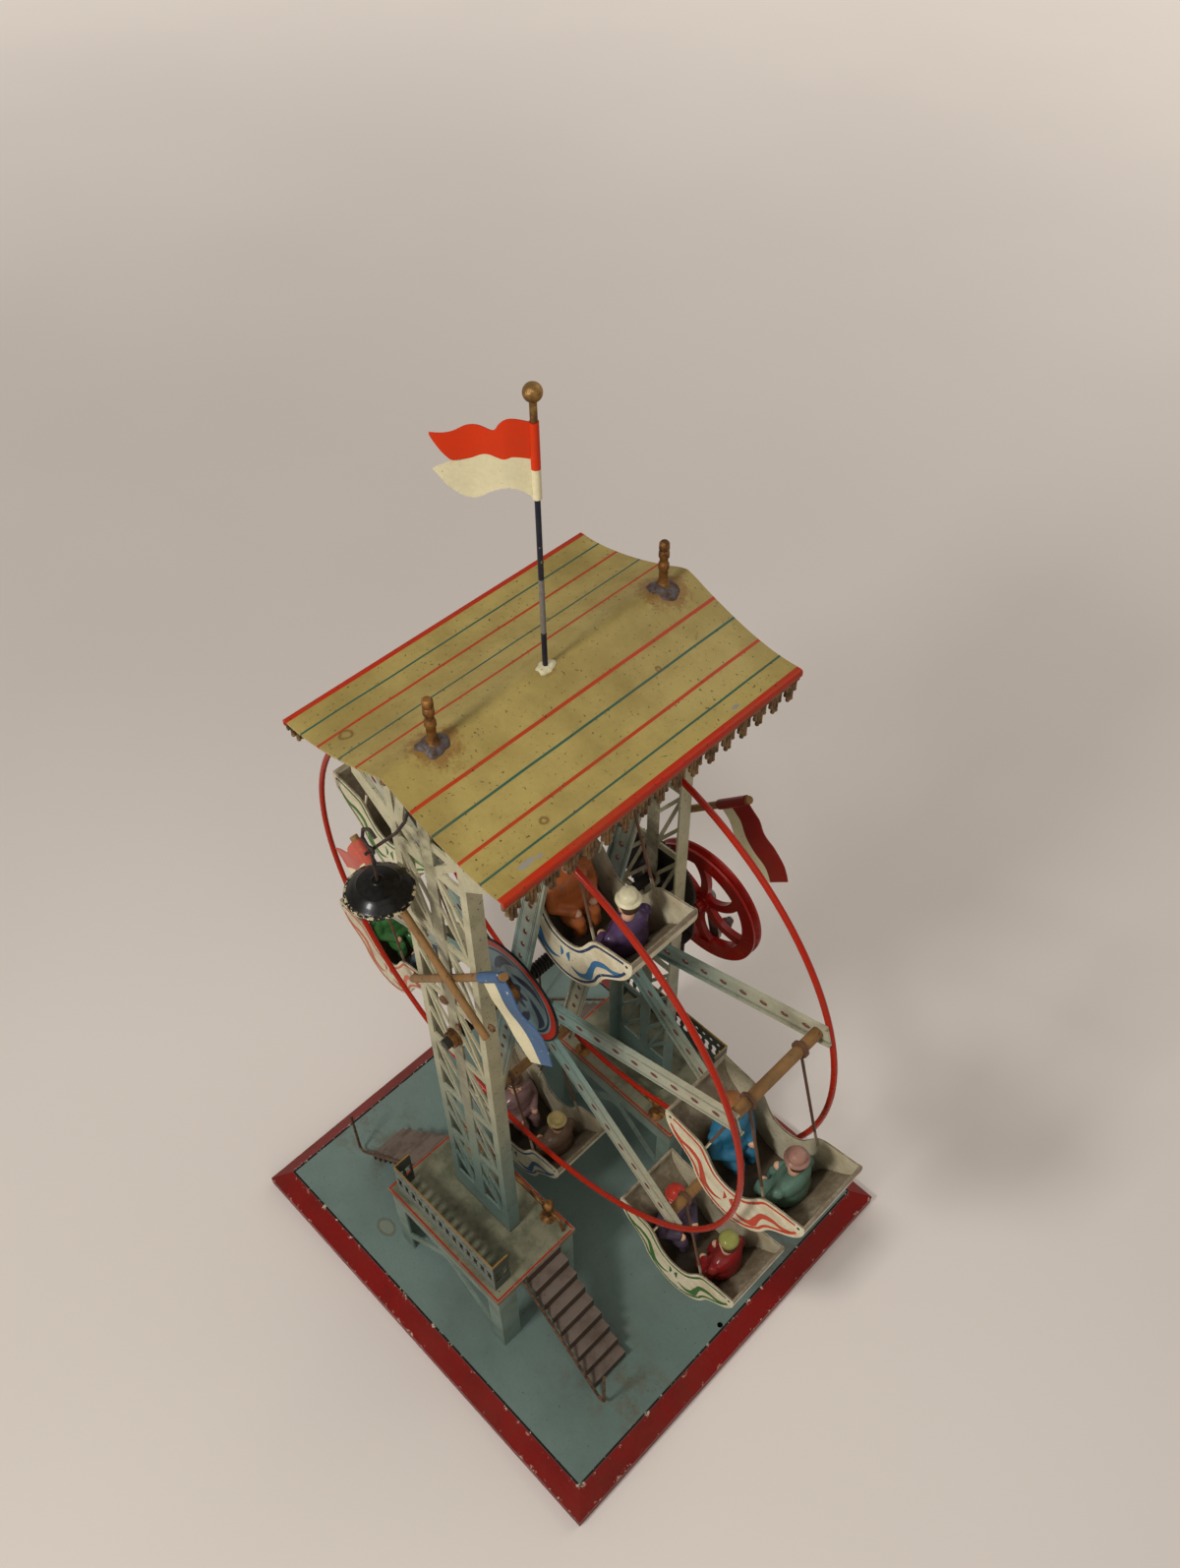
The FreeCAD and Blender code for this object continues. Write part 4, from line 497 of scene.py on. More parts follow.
def addLathe(mesh, profile, centre, segments=40, material=0, turn=Matrix.Identity(3)):
    # profile holds pairs of radius and height
    loops = []
    for radius, height in profile:
        angles = [2 * math.pi * k / segments for k in range(segments if radius > 1e-6 else 1)]
        loops.append([mesh.verts.new(Vector(centre) + turn @ Vector((
            radius * math.cos(angle), radius * math.sin(angle), height))) for angle in angles])
    joinLoops(mesh, loops, material)


def addSleeve(mesh, radii, low, high, material, centre=(0, 0, 0), turn=Matrix.Identity(3)):
    inner, outer = radii
    addLathe(mesh, [(inner, low), (outer, low), (outer, high), (inner, high), (inner, low)],
             centre, 20, material, turn)


def addBlob(mesh, centre, radii, material=0, detail=2, rough=0.0):
    made = bmesh.ops.create_icosphere(mesh, subdivisions=detail, radius=1)
    for vertex in made["verts"]:
        lump = 1 + rough * noise.noise(vertex.co * 2 + Vector(centre))
        vertex.co = Vector(centre) + Vector(a * b * lump for a, b in zip(vertex.co, radii))
        for face in vertex.link_faces:
            face.material_index = material


class Grower:
    # a tree of Geometry Nodes whose named inputs are the sizes of what it makes
    def __init__(self, name, **inputs):
        self.tree = bpy.data.node_groups.new(name, "GeometryNodeTree")
        for label, kind in inputs.items():
            self.tree.interface.new_socket(name=label, in_out="INPUT",
                                           socket_type="NodeSocket" + kind)
        self.tree.interface.new_socket(name="Geometry", in_out="OUTPUT",
                                       socket_type="NodeSocketGeometry")
        self.read = self.tree.nodes.new("NodeGroupInput").outputs

    def add(self, kind, inputs, **settings):  # gives the new node's first output
        return addNode(self.tree, kind, inputs, **settings).outputs[0]

    def times(self, first, second):
        return self.add("ShaderNodeMath", {0: first, 1: second}, operation="MULTIPLY")

    def vector(self, x, y, z):
        return self.add("ShaderNodeCombineXYZ", {0: x, 1: y, 2: z})

    def moved(self, geometry, y, z, rotation=(0, 0, 0)):
        return self.add("GeometryNodeTransform", {
            "Geometry": geometry, "Translation": self.vector(0.0, y, z), "Rotation": rotation})

    def end(self, geometry):
        real = self.add("GeometryNodeRealizeInstances", {"Geometry": geometry})
        painted = self.add("GeometryNodeSetMaterial",
                           {"Geometry": real, "Material": self.read["Material"]})
        addNode(self.tree, "NodeGroupOutput", {"Geometry": painted})
        return self.tree


def growMesh(name, tree, values):  # runs a tree once and keeps its mesh
    holder = placeObject(name + "Seed", bpy.data.meshes.new(name + "Seed"))
    modifier = holder.modifiers.new("grow", "NODES")
    modifier.node_group = tree
    for item in tree.interface.items_tree:
        if item.in_out == "INPUT":
            modifier[item.identifier] = values[item.name]
    return finalMesh(holder)


print("roof")
roofLook = {
    "halfLength": 57.2, "sheet": 0.7, "steps": 46, "dent": 0.16, "dentSize": 17,
    "slope": [(0, 329.62), (3.0, 328.75), (8.5, 326.35), (17, 323.25), (24, 321.2),
              (31, 319.72), (36, 319.1), (40, 318.95), (43.4, 319.05), (44.25, 318.75),
              (44.3, 317.15)],
    "reach": 44.7, "band": 0.948,
    "stripes": [(0.245, 0.0112, (156, 44, 10)), (0.635, 0.0112, (156, 44, 10)),
                (0.42, 0.0076, (32, 76, 62)), (0.81, 0.0076, (32, 76, 62))],
    "stains": [(-40.0, 17.5), (46.8, 17.5), (0.0, 12.0)],
    "bare": [(39.4, -44.6, 1.3, 3.6), (40.0, -40.6, 0.8, 1.2), (40.4, 33.0, 0.8, 2.0)],
    "rings": [(32.7, -32.3, 1.5), (-26.0, -49.5, 2.4), (18.0, 26.0, 1.2)],
    "paint": (156, 137, 77), "shade": (134, 115, 60), "hem": (158, 30, 2),
    "under": (110, 104, 88), "rust": (116, 76, 32), "tin": (128, 122, 110),
    "ring": (92, 62, 26),
}


def roofTop(x):  # height of the sheet's upper face at x
    return levelAt(roofLook["slope"], abs(x)) + roofLook["sheet"] / 2


def roofPaint(at):
    look = roofLook
    away = abs(at.x) / look["reach"]
    colour = at.mix(at.cloud(34, 6, 0.62).rise(0.34, 0.72), look["paint"], look["shade"])
    for share, half, paint in look["stripes"]:
        stripe = away.band(share, half, 0.002) * at.cloud(5, 4, 0.7).rise(0.22, 0.30)
        colour = at.mix(stripe, colour, paint)
    colour = at.mix(away.rise(look["band"], look["band"] + 0.004), colour, look["hem"])
    below = (1 - at.upward().rise(-0.3, -0.1)) * (1 - away.rise(0.97, 0.975))
    colour = at.mix(below, colour, look["under"])
    for y, spread in look["stains"]:  # rust and flux run down from the soldered feet
        edge = at.spot(0, y).root() + at.cloud(4, 5, 0.8) * 17.0
        colour = at.mix((1 - edge.rise(spread - 4.0, spread)) * 0.75, colour, look["rust"])
    for patch in look["bare"]:  # paint gone down to the tin
        edge = at.spot(*patch) + at.cloud(2.5, 5, 0.7) * 1.6
        colour = at.mix(1 - edge.rise(1.2, 1.5), colour, look["tin"])
    for x, y, radius in look["rings"]:  # brown rings of old drops
        ring = (at.spot(x, y).root() + at.cloud(2, 4, 0.7) * 1.2).band(radius, 0.4, 0.3)
        colour = at.mix(ring * 0.75, colour, look["ring"])
    return colour


roofEnamel = enamel("roofEnamel", roofPaint, gloss=0.42, coat=0.15, grime=(96, 76, 38),
                    grimeShare=0.3, grimeSize=13, chip=(84, 58, 28), chipLevel=0.70,
                    chipSize=3.4, speckLevel=0.665)


def addRoof():
    look = roofLook
    half = smoothPath(look["slope"], 4)
    profile = [Vector((-point.x, 0, point.z)) for point in reversed(half[1:])] + half
    rows = []
    for index in range(look["steps"] + 1):
        y = -look["halfLength"] + 2 * look["halfLength"] * index / look["steps"]
        row = []
        for point in profile:
            bent = look["dent"] * noise.noise(Vector((point.x, y, 0)) / look["dentSize"])
            held = min(1, (330 - point.z) / 5) * min(1, (44.3 - abs(point.x)) / 3)
            row.append(Vector((point.x, y, point.z + bent * held)))
        rows.append(row)
    mesh = bmesh.new()
    addSheet(mesh, rows, look["sheet"])
    addPiece("roofSheet", mesh, [roofEnamel], "frame", ["roof_canopy"])


addRoof()

fringeLook = {"groups": 17, "pitch": 6.7, "tube": 0.6, "short": 5.85, "long": 8.6, "band": 3.0,
              "x": 43.64, "top": 318.5}


def fringeTree():
    grower = Grower("fringeRow", Groups="Int", Pitch="Float", Tube="Float", Short="Float",
                    Long="Float", Band="Float", Place="Vector", Material="Material")
    read, times, vector = grower.read, grower.times, grower.vector
    tube, pitch, parts = read["Tube"], read["Pitch"], []
    for step, drop in ((-1.5, "Short"), (-0.5, "Long"), (0.5, "Long"), (1.5, "Short")):
        rod = grower.add("GeometryNodeMeshCylinder",
                         {"Vertices": 10, "Radius": tube, "Depth": read[drop]})
        tip = grower.add("GeometryNodeMeshIcoSphere",
                         {"Subdivisions": 2, "Radius": times(tube, 1.18)})
        for part, share in ((rod, -0.5), (tip, -1.0)):
            parts.append(grower.moved(part, times(tube, 2.1 * step), times(read[drop], share)))
    strap = grower.add("GeometryNodeMeshCube",
                       {"Size": vector(times(tube, 1.5), pitch, read["Band"])})
    parts.append(grower.moved(strap, 0.0, times(read["Band"], -0.5)))
    gaps = grower.add("ShaderNodeMath", {0: read["Groups"], 1: 1.0}, operation="SUBTRACT")
    back = vector(0.0, times(gaps, times(pitch, -0.5)), 0.0)
    first = grower.add("ShaderNodeVectorMath", {0: read["Place"], 1: back}, operation="ADD")
    line = grower.add("GeometryNodeMeshLine", {
        "Count": read["Groups"], "Offset": vector(0.0, pitch, 0.0), "Start Location": first})
    group = grower.add("GeometryNodeJoinGeometry", {"Geometry": parts})
    return grower.end(grower.add("GeometryNodeInstanceOnPoints",
                                 {"Points": line, "Instance": group}))


def addFringes():
    look, tree = fringeLook, fringeTree()
    values = {name: look[name.lower()] * mm
              for name in ("Pitch", "Tube", "Short", "Long", "Band")}
    for side, sign in (("left", -1), ("right", 1)):
        values.update(Groups=look["groups"], Material=bronze,
                      Place=(sign * look["x"] * mm, 0, look["top"] * mm))
        mesh = growMesh(side + "Fringe", tree, values)
        showMesh(side + "FringeTubes", mesh, "frame", [side + "_fringe"])


addFringes()

finialLook = {"y": [-40.0, 46.8], "foot": 328.6,
              "profile": [(0, 17.3), (1.1, 17.3), (1.5, 16.7), (1.55, 14.9), (1.2, 14.4),
                          (1.55, 13.8), (1.6, 12.2), (1.2, 11.6), (1.25, 10.2), (1.6, 9.6),
                          (1.65, 8.2), (1.3, 7.6), (1.35, 4.2), (1.9, 2.2), (2.9, 0.9),
                          (0, 0.0)]}


def addPuddle(mesh, x, y, radius, height, material=0, rings=5, segments=28):
    # solder that set on the roof round a soldered foot
    loops = []
    for share in (ring / rings for ring in range(rings + 1)):
        loop = []
        for angle in (2 * math.pi * k / segments for k in range(segments)):
            over, along = math.cos(angle), math.sin(angle)
            lobe = 1 + 0.5 * noise.noise(Vector((over * 1.4 + x, along * 1.4, y)))
            px, py = x + over * radius * share * lobe, y + along * radius * share * lobe
            lump = 1 + 0.5 * noise.noise(Vector((px, py, 1.0)) / 1.6)
            thick = height * (1 - share ** 2) ** 0.7 * lump
            loop.append(mesh.verts.new((px, py, roofTop(px) + 0.1 + thick)))
        loops.append(loop)
    loops.append([mesh.verts.new((vertex.co.x, vertex.co.y, roofTop(vertex.co.x) - 0.4))
                  for vertex in loops[-1]])
    joinLoops(mesh, loops, material)
    addFace(mesh, loops[-1], material)
    bmesh.ops.remove_doubles(mesh, verts=loops[0], dist=0.01)


def addFinials():
    mesh = bmesh.new()
    for y in finialLook["y"]:
        addLathe(mesh, finialLook["profile"], (0, y, finialLook["foot"]), 24, 0)
        addPuddle(mesh, 0.3, y, 4.5, 1.4, 1)
    addPiece("finialPipes", mesh, [oldBrass, solder], "frame", ["roof_finials"])
    mesh = bmesh.new()
    addPuddle(mesh, 0.2, -0.1, 2.7, 0.9)
    addPiece("poleSolder", mesh, [enamel("paintedSolder", (196, 186, 150), gloss=0.4,
                                         chip=(110, 92, 60), chipLevel=0.66)],
             "frame")


addFinials()


print("flags")
flagRed = enamel("flagRed", (188, 44, 4), gloss=0.3, coat=0.1, grimeShare=0.12, speckLevel=0.78)
flagCream = enamel("flagCream", (204, 192, 154), gloss=0.34, coat=0.1, grimeShare=0.18,
                   speckLevel=0.72)
flagBlue = enamel("flagBlue", (56, 88, 122), gloss=0.34, chip=(206, 200, 180),
                  chipLevel=0.66, chipSize=2.2)
flagDark = enamel("flagDarkRed", (122, 16, 12), gloss=0.3, coat=0.1, chip=(210, 196, 170),
                  chipLevel=0.74)
flagPink = enamel("flagPaleRed", (178, 78, 62), gloss=0.34, coat=0.1,
                  chip=(214, 200, 176), chipLevel=0.68)

roofFlagLook = {
    "heading": (-0.70, -0.714), "sheet": 0.4, "wave": 0.5, "sleeve": (0.8, 1.2), "foot": 385.3,
    "top": 406.5, "split": 393.8, "span": (1.0, 24.18), "steps": (60, 10),
    "upperTop": [(1.0, 406.4), (4.6, 407.4), (6.6, 407.2), (8.1, 406.0), (9.5, 404.3),
                 (12.8, 405.5), (15.6, 405.5), (18.5, 404.3), (21.0, 404.0), (24.3, 404.4)],
    "seam": [(1.0, 396.5), (5.1, 397.3), (7.6, 396.7), (11.6, 397.9), (15.4, 396.7),
             (19.2, 396.4)],
    "upperTip": [(21.4, 398.6), (23.2, 401.7), (24.3, 404.1)], "lowerTip": [(24.2, 394.7)],
    "lowerFoot": [(1.0, 385.7), (3.4, 387.6), (5.5, 388.5), (7.6, 388.6), (10.6, 387.5),
                  (14.1, 385.7), (16.2, 385.7), (18.2, 386.8), (21.1, 389.7), (23.0, 392.7),
                  (24.2, 394.4)],
}


def addRoofFlag():
    look = roofFlagLook
    heading = Vector((*look["heading"], 0)).normalized()
    normal = Vector((-heading.y, heading.x, 0))
    (near, far), (steps, strips) = look["span"], look["steps"]
    mesh = bmesh.new()
    halves = ((look["upperTop"], look["seam"] + look["upperTip"]),
              (look["seam"] + look["lowerTip"], look["lowerFoot"]))
    for material, edges in enumerate(halves):
        upper, lower = ([(point.x, point.z) for point in smoothPath(edge, 8)] for edge in edges)
        rows = []
        for step in range(steps + 1):
            u = near + (far - near) * step / steps
            high, low = levelAt(upper, u), levelAt(lower, u)
            wave = look["wave"] * math.sin(u / 3.1) * min(1, (u - 1) / 6)
            rows.append([heading * u + normal * wave
                         + Vector((0, 0, low + (high - low) * k / strips))
                         for k in range(strips + 1)])
        addSheet(mesh, rows, look["sheet"], material, normal)
    for low, high, material in (("foot", "split", 1), ("split", "top", 0)):
        addSleeve(mesh, look["sleeve"], look[low], look[high], material)
    bmesh.ops.remove_doubles(mesh, verts=mesh.verts, dist=0.0005)
    addPiece("roofFlagSheet", mesh, [flagRed, flagCream], "roof_flag",
             ["roof_flag"])


addRoofFlag()

bannerLook = {
    "width": 14.6, "setBack": 1.5, "sheet": 0.4, "sleeve": (1.34, 1.72), "wave": 0.35,
    "steps": (40, 16),
    "wide": {"outer": [(0.0, 0.0), (-0.034, 0.5), (-0.15, 0.89), (-0.034, 1.27), (-0.06, 1.68),
                       (-0.29, 2.13)],
             "inner": [(-1.0, 0.0), (-1.034, 0.38), (-1.13, 0.82), (-1.2, 1.315), (-1.164, 1.71),
                       (-1.23, 2.09)]},
    "tail": {"outer": [(0.0, 0.0), (-0.02, 0.25), (-0.10, 0.55), (-0.21, 0.76), (-0.13, 1.05),
                       (-0.07, 1.39)],
             "inner": [(-1.0, 0.0), (-1.03, 0.5), (-1.13, 0.95), (-1.04, 1.42)]},
}
bannerPlaces = [
    {"name": "frontRightBanner", "node": "front_right_flag", "low": (-17.5, 211.0),
     "high": (31.0, 264.0), "y": -48.65, "cut": "wide", "paints": [flagCream, flagBlue]},
    {"name": "frontLeftBanner", "node": "front_left_flag", "low": (22.5, 224.0),
     "high": (-31.0, 275.5), "y": -51.3, "cut": "tail", "paints": [flagCream, flagPink]},
    {"name": "rearRightBanner", "node": "rear_right_flag", "low": (12.0, 239.0),
     "high": (38.0, 265.2), "y": 48.65, "cut": "wide", "paints": [flagCream, flagDark],
     "split": 10},
]


def addBanner(place):
    look = bannerLook
    low, high = (Vector((place[end][0], place["y"], place[end][1])) for end in ("low", "high"))
    along = (high - low).normalized()
    away = Vector((along.z, 0, -along.x))
    if away.z > 0:
        away.negate()
    outward = Vector((0, math.copysign(1, place["y"]), 0))
    corner = high - along * look["setBack"]
    sides = [smoothPath(look[place["cut"]][key], 8) for key in ("outer", "inner")]
    rows = []
    steps, strips = look["steps"]
    for share in (step / steps for step in range(steps + 1)):
        outer, inner = (path[round(share * (len(path) - 1))] for path in sides)
        row = []
        for k in range(strips + 1):
            point = outer.lerp(inner, k / strips)
            sway = look["wave"] * (1 - math.cos(point.z * 4.4 + k / 9)) * min(1, point.z * 2)
            row.append(corner + (along * point.x + away * point.z) * look["width"]
                       + outward * sway)
        rows.append(row)
    mesh = bmesh.new()
    middle = place.get("split", 8)
    addSheet(mesh, [row[:middle + 1] for row in rows], look["sheet"], 1)
    addSheet(mesh, [row[middle:] for row in rows], look["sheet"])
    addSleeve(mesh, look["sleeve"], 0, look["width"], 1, corner - along * look["width"],
              along.to_track_quat("Z", "Y").to_matrix())
    bmesh.ops.remove_doubles(mesh, verts=mesh.verts, dist=0.0005)
    addPiece(place["name"], mesh, place["paints"], "frame", [place["node"]])


for place in bannerPlaces:
    addBanner(place)


print("lamp and solder")
lampShape = {"centre": (-9.8, -58.5, 280.6), "black": (12, 11, 11), "tin": (176, 160, 126),
             "outside": [(0.54, 0.0), (1.7, 0.0), (1.85, -0.2), (2.4, -0.4), (3.6, -0.68),
                         (5.0, -1.15), (6.0, -1.65), (6.3, -1.75), (6.45, -2.0), (7.4, -2.65),
                         (8.4, -3.5), (9.2, -4.3), (9.7, -4.75), (10.2, -4.85), (10.45, -5.1),
                         (10.45, -5.4), (10.2, -5.58)],
             "inside": [(9.8, -5.5), (9.4, -5.2), (8.6, -4.4), (7.4, -3.35), (6.2, -2.5),
                        (4.8, -1.85), (3.2, -1.3), (1.6, -0.75), (0.54, -0.6), (0.54, 0.0)]}


def lampPaint(at):
    chipped = (1 - at.z.rise(275.7, 276.1)) * at.cloud(2.0, 5, 0.75).rise(0.51, 0.53)
    return at.mix(chipped, lampShape["black"], lampShape["tin"])


def addLampShade():
    mesh = bmesh.new()
    addLathe(mesh, lampShape["outside"] + lampShape["inside"], lampShape["centre"], 96)
    bmesh.ops.remove_doubles(mesh, verts=mesh.verts, dist=0.001)
    addPiece("lampDome", mesh, [enamel("lampEnamel", lampPaint, gloss=0.3, coat=0.1,
                                       grimeShare=0.1, chip=(150, 136, 106), chipLevel=0.79,
                                       chipSize=2.0, speckLevel=0.9, relief=0.01)],
             "lamp", ["lamp_shade"])


addLampShade()

lumpPlaces = [(-3.1, -47.6, 212.8, 1.7), (2.6, -47.6, 203.0, 1.2), (12.5, 47.6, 240.0, 1.6),
              (-14.5, -47.9, 310.0, 1.3), (-16.9, -47.6, 211.8, 1.5), (22.0, 47.6, 249.0, 1.2),
              (13.6, 47.7, 160.5, 1.4), (21.4, -48.2, 225.0, 1.4)]


def addLumps():
    mesh = bmesh.new()
    for x, y, z, radius in lumpPlaces:
        addBlob(mesh, (x, y, z), (radius, radius * 0.55, radius * 1.1), 0, 3, 0.5)
    rust = bareMetal("rustySolder", (128, 96, 62), (84, 52, 28), 0.6, 0.3, 1.6, 0.5)
    addPiece("solderLumps", mesh, [rust], "frame")


addLumps()

coilLook = {"radius": 2.35, "wire": 0.42, "pitch": 1.35, "from": -19.0, "to": 19.0}


def coilTree():
    grower = Grower("axleCoil", Turns="Float", Radius="Float", Wire="Float", Length="Float",
                    Height="Float", Material="Material")
    read = grower.read
    spiral = grower.add("GeometryNodeCurveSpiral", {
        "Resolution": 14, "Rotations": read["Turns"], "Start Radius": read["Radius"],
        "End Radius": read["Radius"], "Height": read["Length"]})
    section = grower.add("GeometryNodeCurvePrimitiveCircle",
                         {"Resolution": 6, "Radius": read["Wire"]})
    sweep = grower.add("GeometryNodeCurveToMesh",
                       {"Curve": spiral, "Profile Curve": section, "Fill Caps": True})
    return grower.end(grower.moved(sweep, grower.times(read["Length"], 0.5), read["Height"],
                                   (math.radians(90), 0, 0)))


def addAxleCoil():
    look = coilLook
    length = look["to"] - look["from"]
    values = {"Turns": length / look["pitch"], "Radius": look["radius"] * mm,
              "Wire": look["wire"] * mm, "Length": length * mm, "Height": axleHeight * mm,
              "Material": gearBlack}
    showMesh("axleWrap", growMesh("axleWrap", coilTree(), values), "wheel")


addAxleCoil()


print("gondolas")
gondolaLook = {
    "halfLength": 28.5, "depth": 35.0, "rimDrop": 40.0, "side": 14.5, "line": 0.95,
    "lineEnd": 26.4,
    "rim": [(0.0, 0.457), (0.175, 0.414), (0.30, 0.286), (0.44, 0.114), (0.65, 0.057),
            (1.0, 0.0)],
    "belly": [(0.0, 1.0), (0.277, 0.929), (0.488, 0.743), (0.596, 0.557), (0.863, 0.343),
              (1.007, 0.114), (1.0, 0.0)],
    "scroll": [(2.6, -67.4), (6.4, -68.2), (10.2, -65.2), (11.6, -60.2), (13.4, -54.8),
               (17.2, -52.0), (21.2, -51.4), (24.6, -48.4)],
    "dab": [(1.9, -60.2), (1.3, -62.6), (1.8, -65.2)],
    "scrollWidths": (0.4, 1.9, 2.6, 1.9, 2.4, 1.8, 0.4), "dabWidths": {1: 1.6, -1: 1.3},
    "cream": (212, 202, 172), "creamShade": (196, 182, 148), "inside": (154, 144, 122),
    "insideShade": (116, 102, 82), "bottomShadow": (52, 44, 36), "wire": (88, 60, 46),
    "lineChip": (196, 184, 156), "scrollChip": (200, 188, 160),
}
gondolaPlaces = [
    {"rod": (93.3, 225.68), "line": (190, 58, 30), "scroll": (186, 66, 40)},
    {"rod": (74.0, 129.09), "line": (56, 102, 50), "scroll": (58, 108, 52)},
    {"rod": (-19.3, 97.51), "line": (56, 88, 122), "scroll": (64, 98, 130)},
    {"rod": (-93.3, 162.52), "line": (196, 84, 50), "scroll": (200, 98, 70)},
    {"rod": (-74.0, 259.11), "line": (60, 108, 46), "scroll": (64, 112, 50)},
    {"rod": (19.3, 290.69), "line": (24, 50, 88), "scroll": (50, 104, 144)},
]


def gondolaPaint(at):
    look = gondolaLook
    cream = at.mix(at.cloud(9, 4, 0.6).rise(0.4, 0.7), look["cream"], look["creamShade"])
    inside = at.mix(at.cloud(6, 5, 0.7).rise(0.3, 0.62), look["inside"], look["insideShade"])
    # painted shadow: the inside darkens towards the bottom of the tub
    inside = at.mix((1 - at.z.rise(-66.0, -48.0)) * 0.8, inside, look["bottomShadow"])
    within = 1 - abs(at.y).rise(look["side"] - 0.12, look["side"] - 0.06)
    colour = at.mix(at.upward().rise(-0.02, 0.06) * within, cream, inside)
    return at.mix(at.z.rise(-39.6, -39.2), colour, look["wire"])


def pathNormals(path):
    runs = [path[min(index + 1, len(path) - 1)] - path[max(index - 1, 0)]
            for index in range(len(path))]
    return [Vector((-run.z, 0, run.x)).normalized() for run in runs]


def addStroke(mesh, path, widths, centre, side, material):
    # a brush stroke of paint lying on one side of the gondola
    centre = centre + Vector((0, side * 0.10, 0))
    rows = []
    for point, across, width in zip(path, pathNormals(path), widths):
        rows.append([centre + point + across * width / 2 * share for share in (-1, 0, 1)])
    addSheet(mesh, rows, 0.06, material, Vector((0, 1, 0)))


def spreadWidths(widths, count):  # eases from one width to the next along a stroke
    spread = []
    for index in range(count):
        place = index / (count - 1) * (len(widths) - 1)
        low = min(int(place), len(widths) - 2)
        ease = (place - low) ** 2 * (3 - 2 * (place - low))
        spread.append(widths[low] + (widths[low + 1] - widths[low]) * ease)
    return spread


def gondolaCurve(shape):
    look = gondolaLook
    half = [(x * look["halfLength"], -look["rimDrop"] - z * look["depth"]) for x, z in shape]
    return smoothPath([(-x, z) for x, z in reversed(half[1:])] + half, 5)


def addGondolaPaint(index, place):
    look = gondolaLook
    rodX, rodZ = place["rod"]
    dressNodes(enamel(f"gondolaEnamel{index}", gondolaPaint, gloss=0.34, grimeShare=0.28,
                      grimeSize=7, grime=(110, 88, 58), chip=(92, 66, 44),
                      chipLevel=0.70, chipSize=1.8, speckLevel=0.68, centre=(rodX, 0, rodZ)),
               f"gondola_{index}")
    linePaint = enamel(f"gondolaLine{index}", place["line"], chip=look["lineChip"],
                       chipLevel=0.62, chipSize=1.6)
    scrollPaint = enamel(f"gondolaScroll{index}", place["scroll"], chip=look["scrollChip"],
                         chipLevel=0.68, chipSize=1.6)
    mesh = bmesh.new()
    for side in (-1, 1):
        centre = Vector((rodX, side * look["side"], rodZ))
        for shape, distance in (("rim", -1.5), ("belly", 1.6)):
            curve = gondolaCurve(look[shape])
            edge = [point + across * distance
                    for point, across in zip(curve, pathNormals(curve))]
            edge = [point for point in edge if abs(point.x) < look["lineEnd"]]
            addStroke(mesh, edge, [look["line"]] * len(edge), centre, side, 0)
        for hand in (-1, 1):
            dab = (0.3, look["dabWidths"][hand], 0.3)
            for key, widths, steps in (("scroll", look["scrollWidths"], 7), ("dab", dab, 6)):
                path = smoothPath([(hand * x, z) for x, z in look[key]], steps)
                addStroke(mesh, path, spreadWidths(widths, len(path)), centre, side, 1)
            addLathe(mesh, [(0, -0.08), (0.55, -0.08), (0.55, 0.08), (0, 0.08)],
                     centre + Vector((hand * 26.6, side * 0.06, -42.6)), 14, 2,
                     Matrix.Rotation(math.radians(-90), 3, "X"))
    addPiece(f"gondolaStrokes{index}", mesh, [linePaint, scrollPaint, blackEnamel],
             f"gondola_{index}")


for index, place in enumerate(gondolaPlaces, start=1):
    addGondolaPaint(index, place)


print("riders")
flesh = enamel("riderFace", (206, 158, 128), gloss=0.35, chip=(120, 84, 64),
               chipLevel=0.74, chipSize=1.2)
hair = enamel("riderHair", (72, 48, 32), gloss=0.45)
riderLook = {
    "reach": 13.2, "voxel": 0.5,
    "coat": [((0.2, 0, -54.6), (5.8, 7.7, 8.8)), ((0.0, 0, -49.6), (5.0, 8.0, 5.2)),
             ((-1.6, 0, -58.2), (5.4, 7.4, 4.6)),
             ((-5.0, 3.4, -62.4), (5.6, 3.2, 3.2)), ((-5.0, -3.4, -62.4), (5.6, 3.2, 3.2)),
             ((-8.6, 3.3, -65.6), (2.2, 2.3, 4.4)), ((-8.6, -3.3, -65.6), (2.2, 2.3, 4.4))],
    "shoulder": (0.0, 7.4, -48.6), "elbow": (-1.6, 9.0, -55.4), "hand": (-6.8, 4.2, -57.4),
    "arm": (2.5, 2.0), "head": (-0.2, 0, -38.2),
}
riderPlaces = {
    1: [("blue", (40, 104, 132), "cap", (146, 92, 52)),
        ("green", (86, 114, 98), "straw", (150, 110, 95))],
    2: [("violet", (66, 54, 70), "bowler", (170, 44, 30)),
        ("red", (126, 24, 26), "cap", (134, 132, 68))],
    3: [("mauve", (122, 92, 88), "bowler", (84, 62, 48)),
        ("umber", (108, 84, 66), "straw", (178, 156, 100))],
    4: [("leaf", (54, 104, 52), "bowler", (60, 44, 36)),
        ("slate", (64, 82, 92), "straw", (170, 150, 104))],
    6: [("orange", (176, 96, 48), "cap", (160, 84, 44)),
        ("purple", (74, 54, 86), "straw", (206, 196, 160))],
}
hatShapes = {
    "straw": [(0, 4.9), (1.6, 4.8), (2.7, 4.3), (3.1, 3.2), (3.2, 1.9), (4.0, 1.5), (4.2, 1.1),
              (3.9, 0.8), (2.6, 1.0), (0, 1.2)],
    "bowler": [(0, 5.0), (1.5, 4.8), (2.7, 4.0), (3.3, 2.6), (3.4, 1.7), (4.0, 1.4), (4.2, 1.0),
               (3.7, 0.7), (2.5, 0.9), (0, 1.1)],
    "cap": [(0, 4.6), (2.0, 4.4), (3.3, 3.7), (3.9, 2.6), (3.7, 1.8), (3.4, 1.3), (3.4, 0.6),
            (2.3, 0.8), (0, 1.0)],
}


